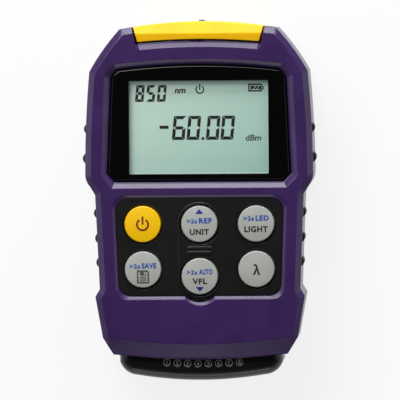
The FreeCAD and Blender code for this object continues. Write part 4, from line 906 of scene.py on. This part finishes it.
def make_floor():
    """White paper under the meter, that still takes its shadow."""
    reach, below, glow_share = 3.0, 0.2 * MM, 0.84
    mesh = bpy.data.meshes.new("studio_floor")
    corners = [(x, y, 0) for x, y in box_outline(-reach, -reach, reach, reach)]
    mesh.from_pydata(corners, [], [(0, 1, 2, 3)])
    floor = bpy.data.objects.new("studio_floor", mesh)
    floor.location.z = -below
    bpy.context.scene.collection.objects.link(floor)
    material = bpy.data.materials.new("studio_paper_white")
    material.use_nodes = True
    tree = material.node_tree
    tree.nodes.clear()
    lit = add(tree, "ShaderNodeBsdfDiffuse", Color=(0.86, 0.86, 0.86, 1))
    glow = add(tree, "ShaderNodeEmission", Color=(1, 1, 1, 1), Strength=1.0)
    seen = seen_directly(tree, "Is Glossy Ray", "Is Transmission Ray")
    share = add(tree, "ShaderNodeMath", {"operation": "MULTIPLY"}, _0=seen, _1=glow_share)
    both = add(tree, "ShaderNodeMixShader", _0=(share, "Value"), _1=(lit, "BSDF"), _2=(glow, "Emission"))
    add(tree, "ShaderNodeOutputMaterial", Surface=(both, "Shader"))
    mesh.materials.append(material)


def make_world():
    """Soft light from the horizon, fading upwards; white where glass is looked through."""
    world = bpy.data.worlds.new("studio_air")
    bpy.context.scene.world = world
    world.use_nodes = True
    tree = world.node_tree
    tree.nodes.clear()
    heading = add(tree, "ShaderNodeTexCoord")
    split = add(tree, "ShaderNodeSeparateXYZ", Vector=(heading, "Generated"))
    fall = add(tree, "ShaderNodeMapRange", Value=(split, "Z"),
               From_Min=0.0, From_Max=0.7, To_Min=0.4, To_Max=0.03)
    dim = add(tree, "ShaderNodeBackground", Color=(1, 1, 1, 1), Strength=(fall, "Result"))
    white = add(tree, "ShaderNodeBackground", Color=(1, 1, 1, 1), Strength=1.0)
    seen = seen_directly(tree, "Is Transmission Ray")
    both = add(tree, "ShaderNodeMixShader", _0=seen, _1=(dim, "Background"), _2=(white, "Background"))
    add(tree, "ShaderNodeOutputWorld", Surface=(both, "Shader"))


def make_camera():
    """A long lens almost straight above the meter, set a little towards its right and its head."""
    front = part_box("front_shell")[1][2]
    aim = Vector((0.3 * MM, 0.1 * MM, front))
    distance, field = 2.0, 132 * MM
    tilt_right, tilt_up, roll = math.radians(2.7), math.radians(2.2), math.radians(-0.45)
    back = Vector((math.tan(tilt_right), math.tan(tilt_up), 1)).normalized()
    right = Vector((0, 1, 0)).cross(back).normalized()
    turn = Matrix((right, back.cross(right), back)).transposed().to_4x4()
    data = bpy.data.cameras.new("camera")
    data.sensor_width = 36
    data.lens = data.sensor_width * distance / field
    data.clip_start, data.clip_end = 0.01, 10
    camera = bpy.data.objects.new("camera", data)
    camera.matrix_world = Matrix.Translation(aim + back * distance) @ turn @ Matrix.Rotation(roll, 4, "Z")
    bpy.context.scene.collection.objects.link(camera)
    bpy.context.scene.camera = camera


def make_studio():
    """The floor, the air, the camera and five soft boxes, the strongest at the meter's head."""
    make_floor()
    make_world()
    make_camera()
    target = (0, 0, 0.02)
    lamp("softbox_head", (0, 0.75, 0.3), target, (0.7, 0.3), 6.6)
    lamp("softbox_foot", (0, -0.75, 0.24), target, (0.7, 0.26), 1.0)
    lamp("softbox_high", (-0.3, 0.55, 0.75), target, (0.6, 0.4), 6.0)
    lamp("softbox_right", (0.8, 0.05, 0.3), target, (0.3, 0.9), 0.8)
    lamp("softbox_left", (-0.8, 0.05, 0.3), target, (0.3, 0.9), 0.8)
    bpy.context.scene.view_settings.view_transform = "Standard"


dress_case()
dress_inner_nodes()
dress_window()
dress_display()
dress_keys()
dress_mat()
dress_wire_map()
dress_threads()
make_studio()
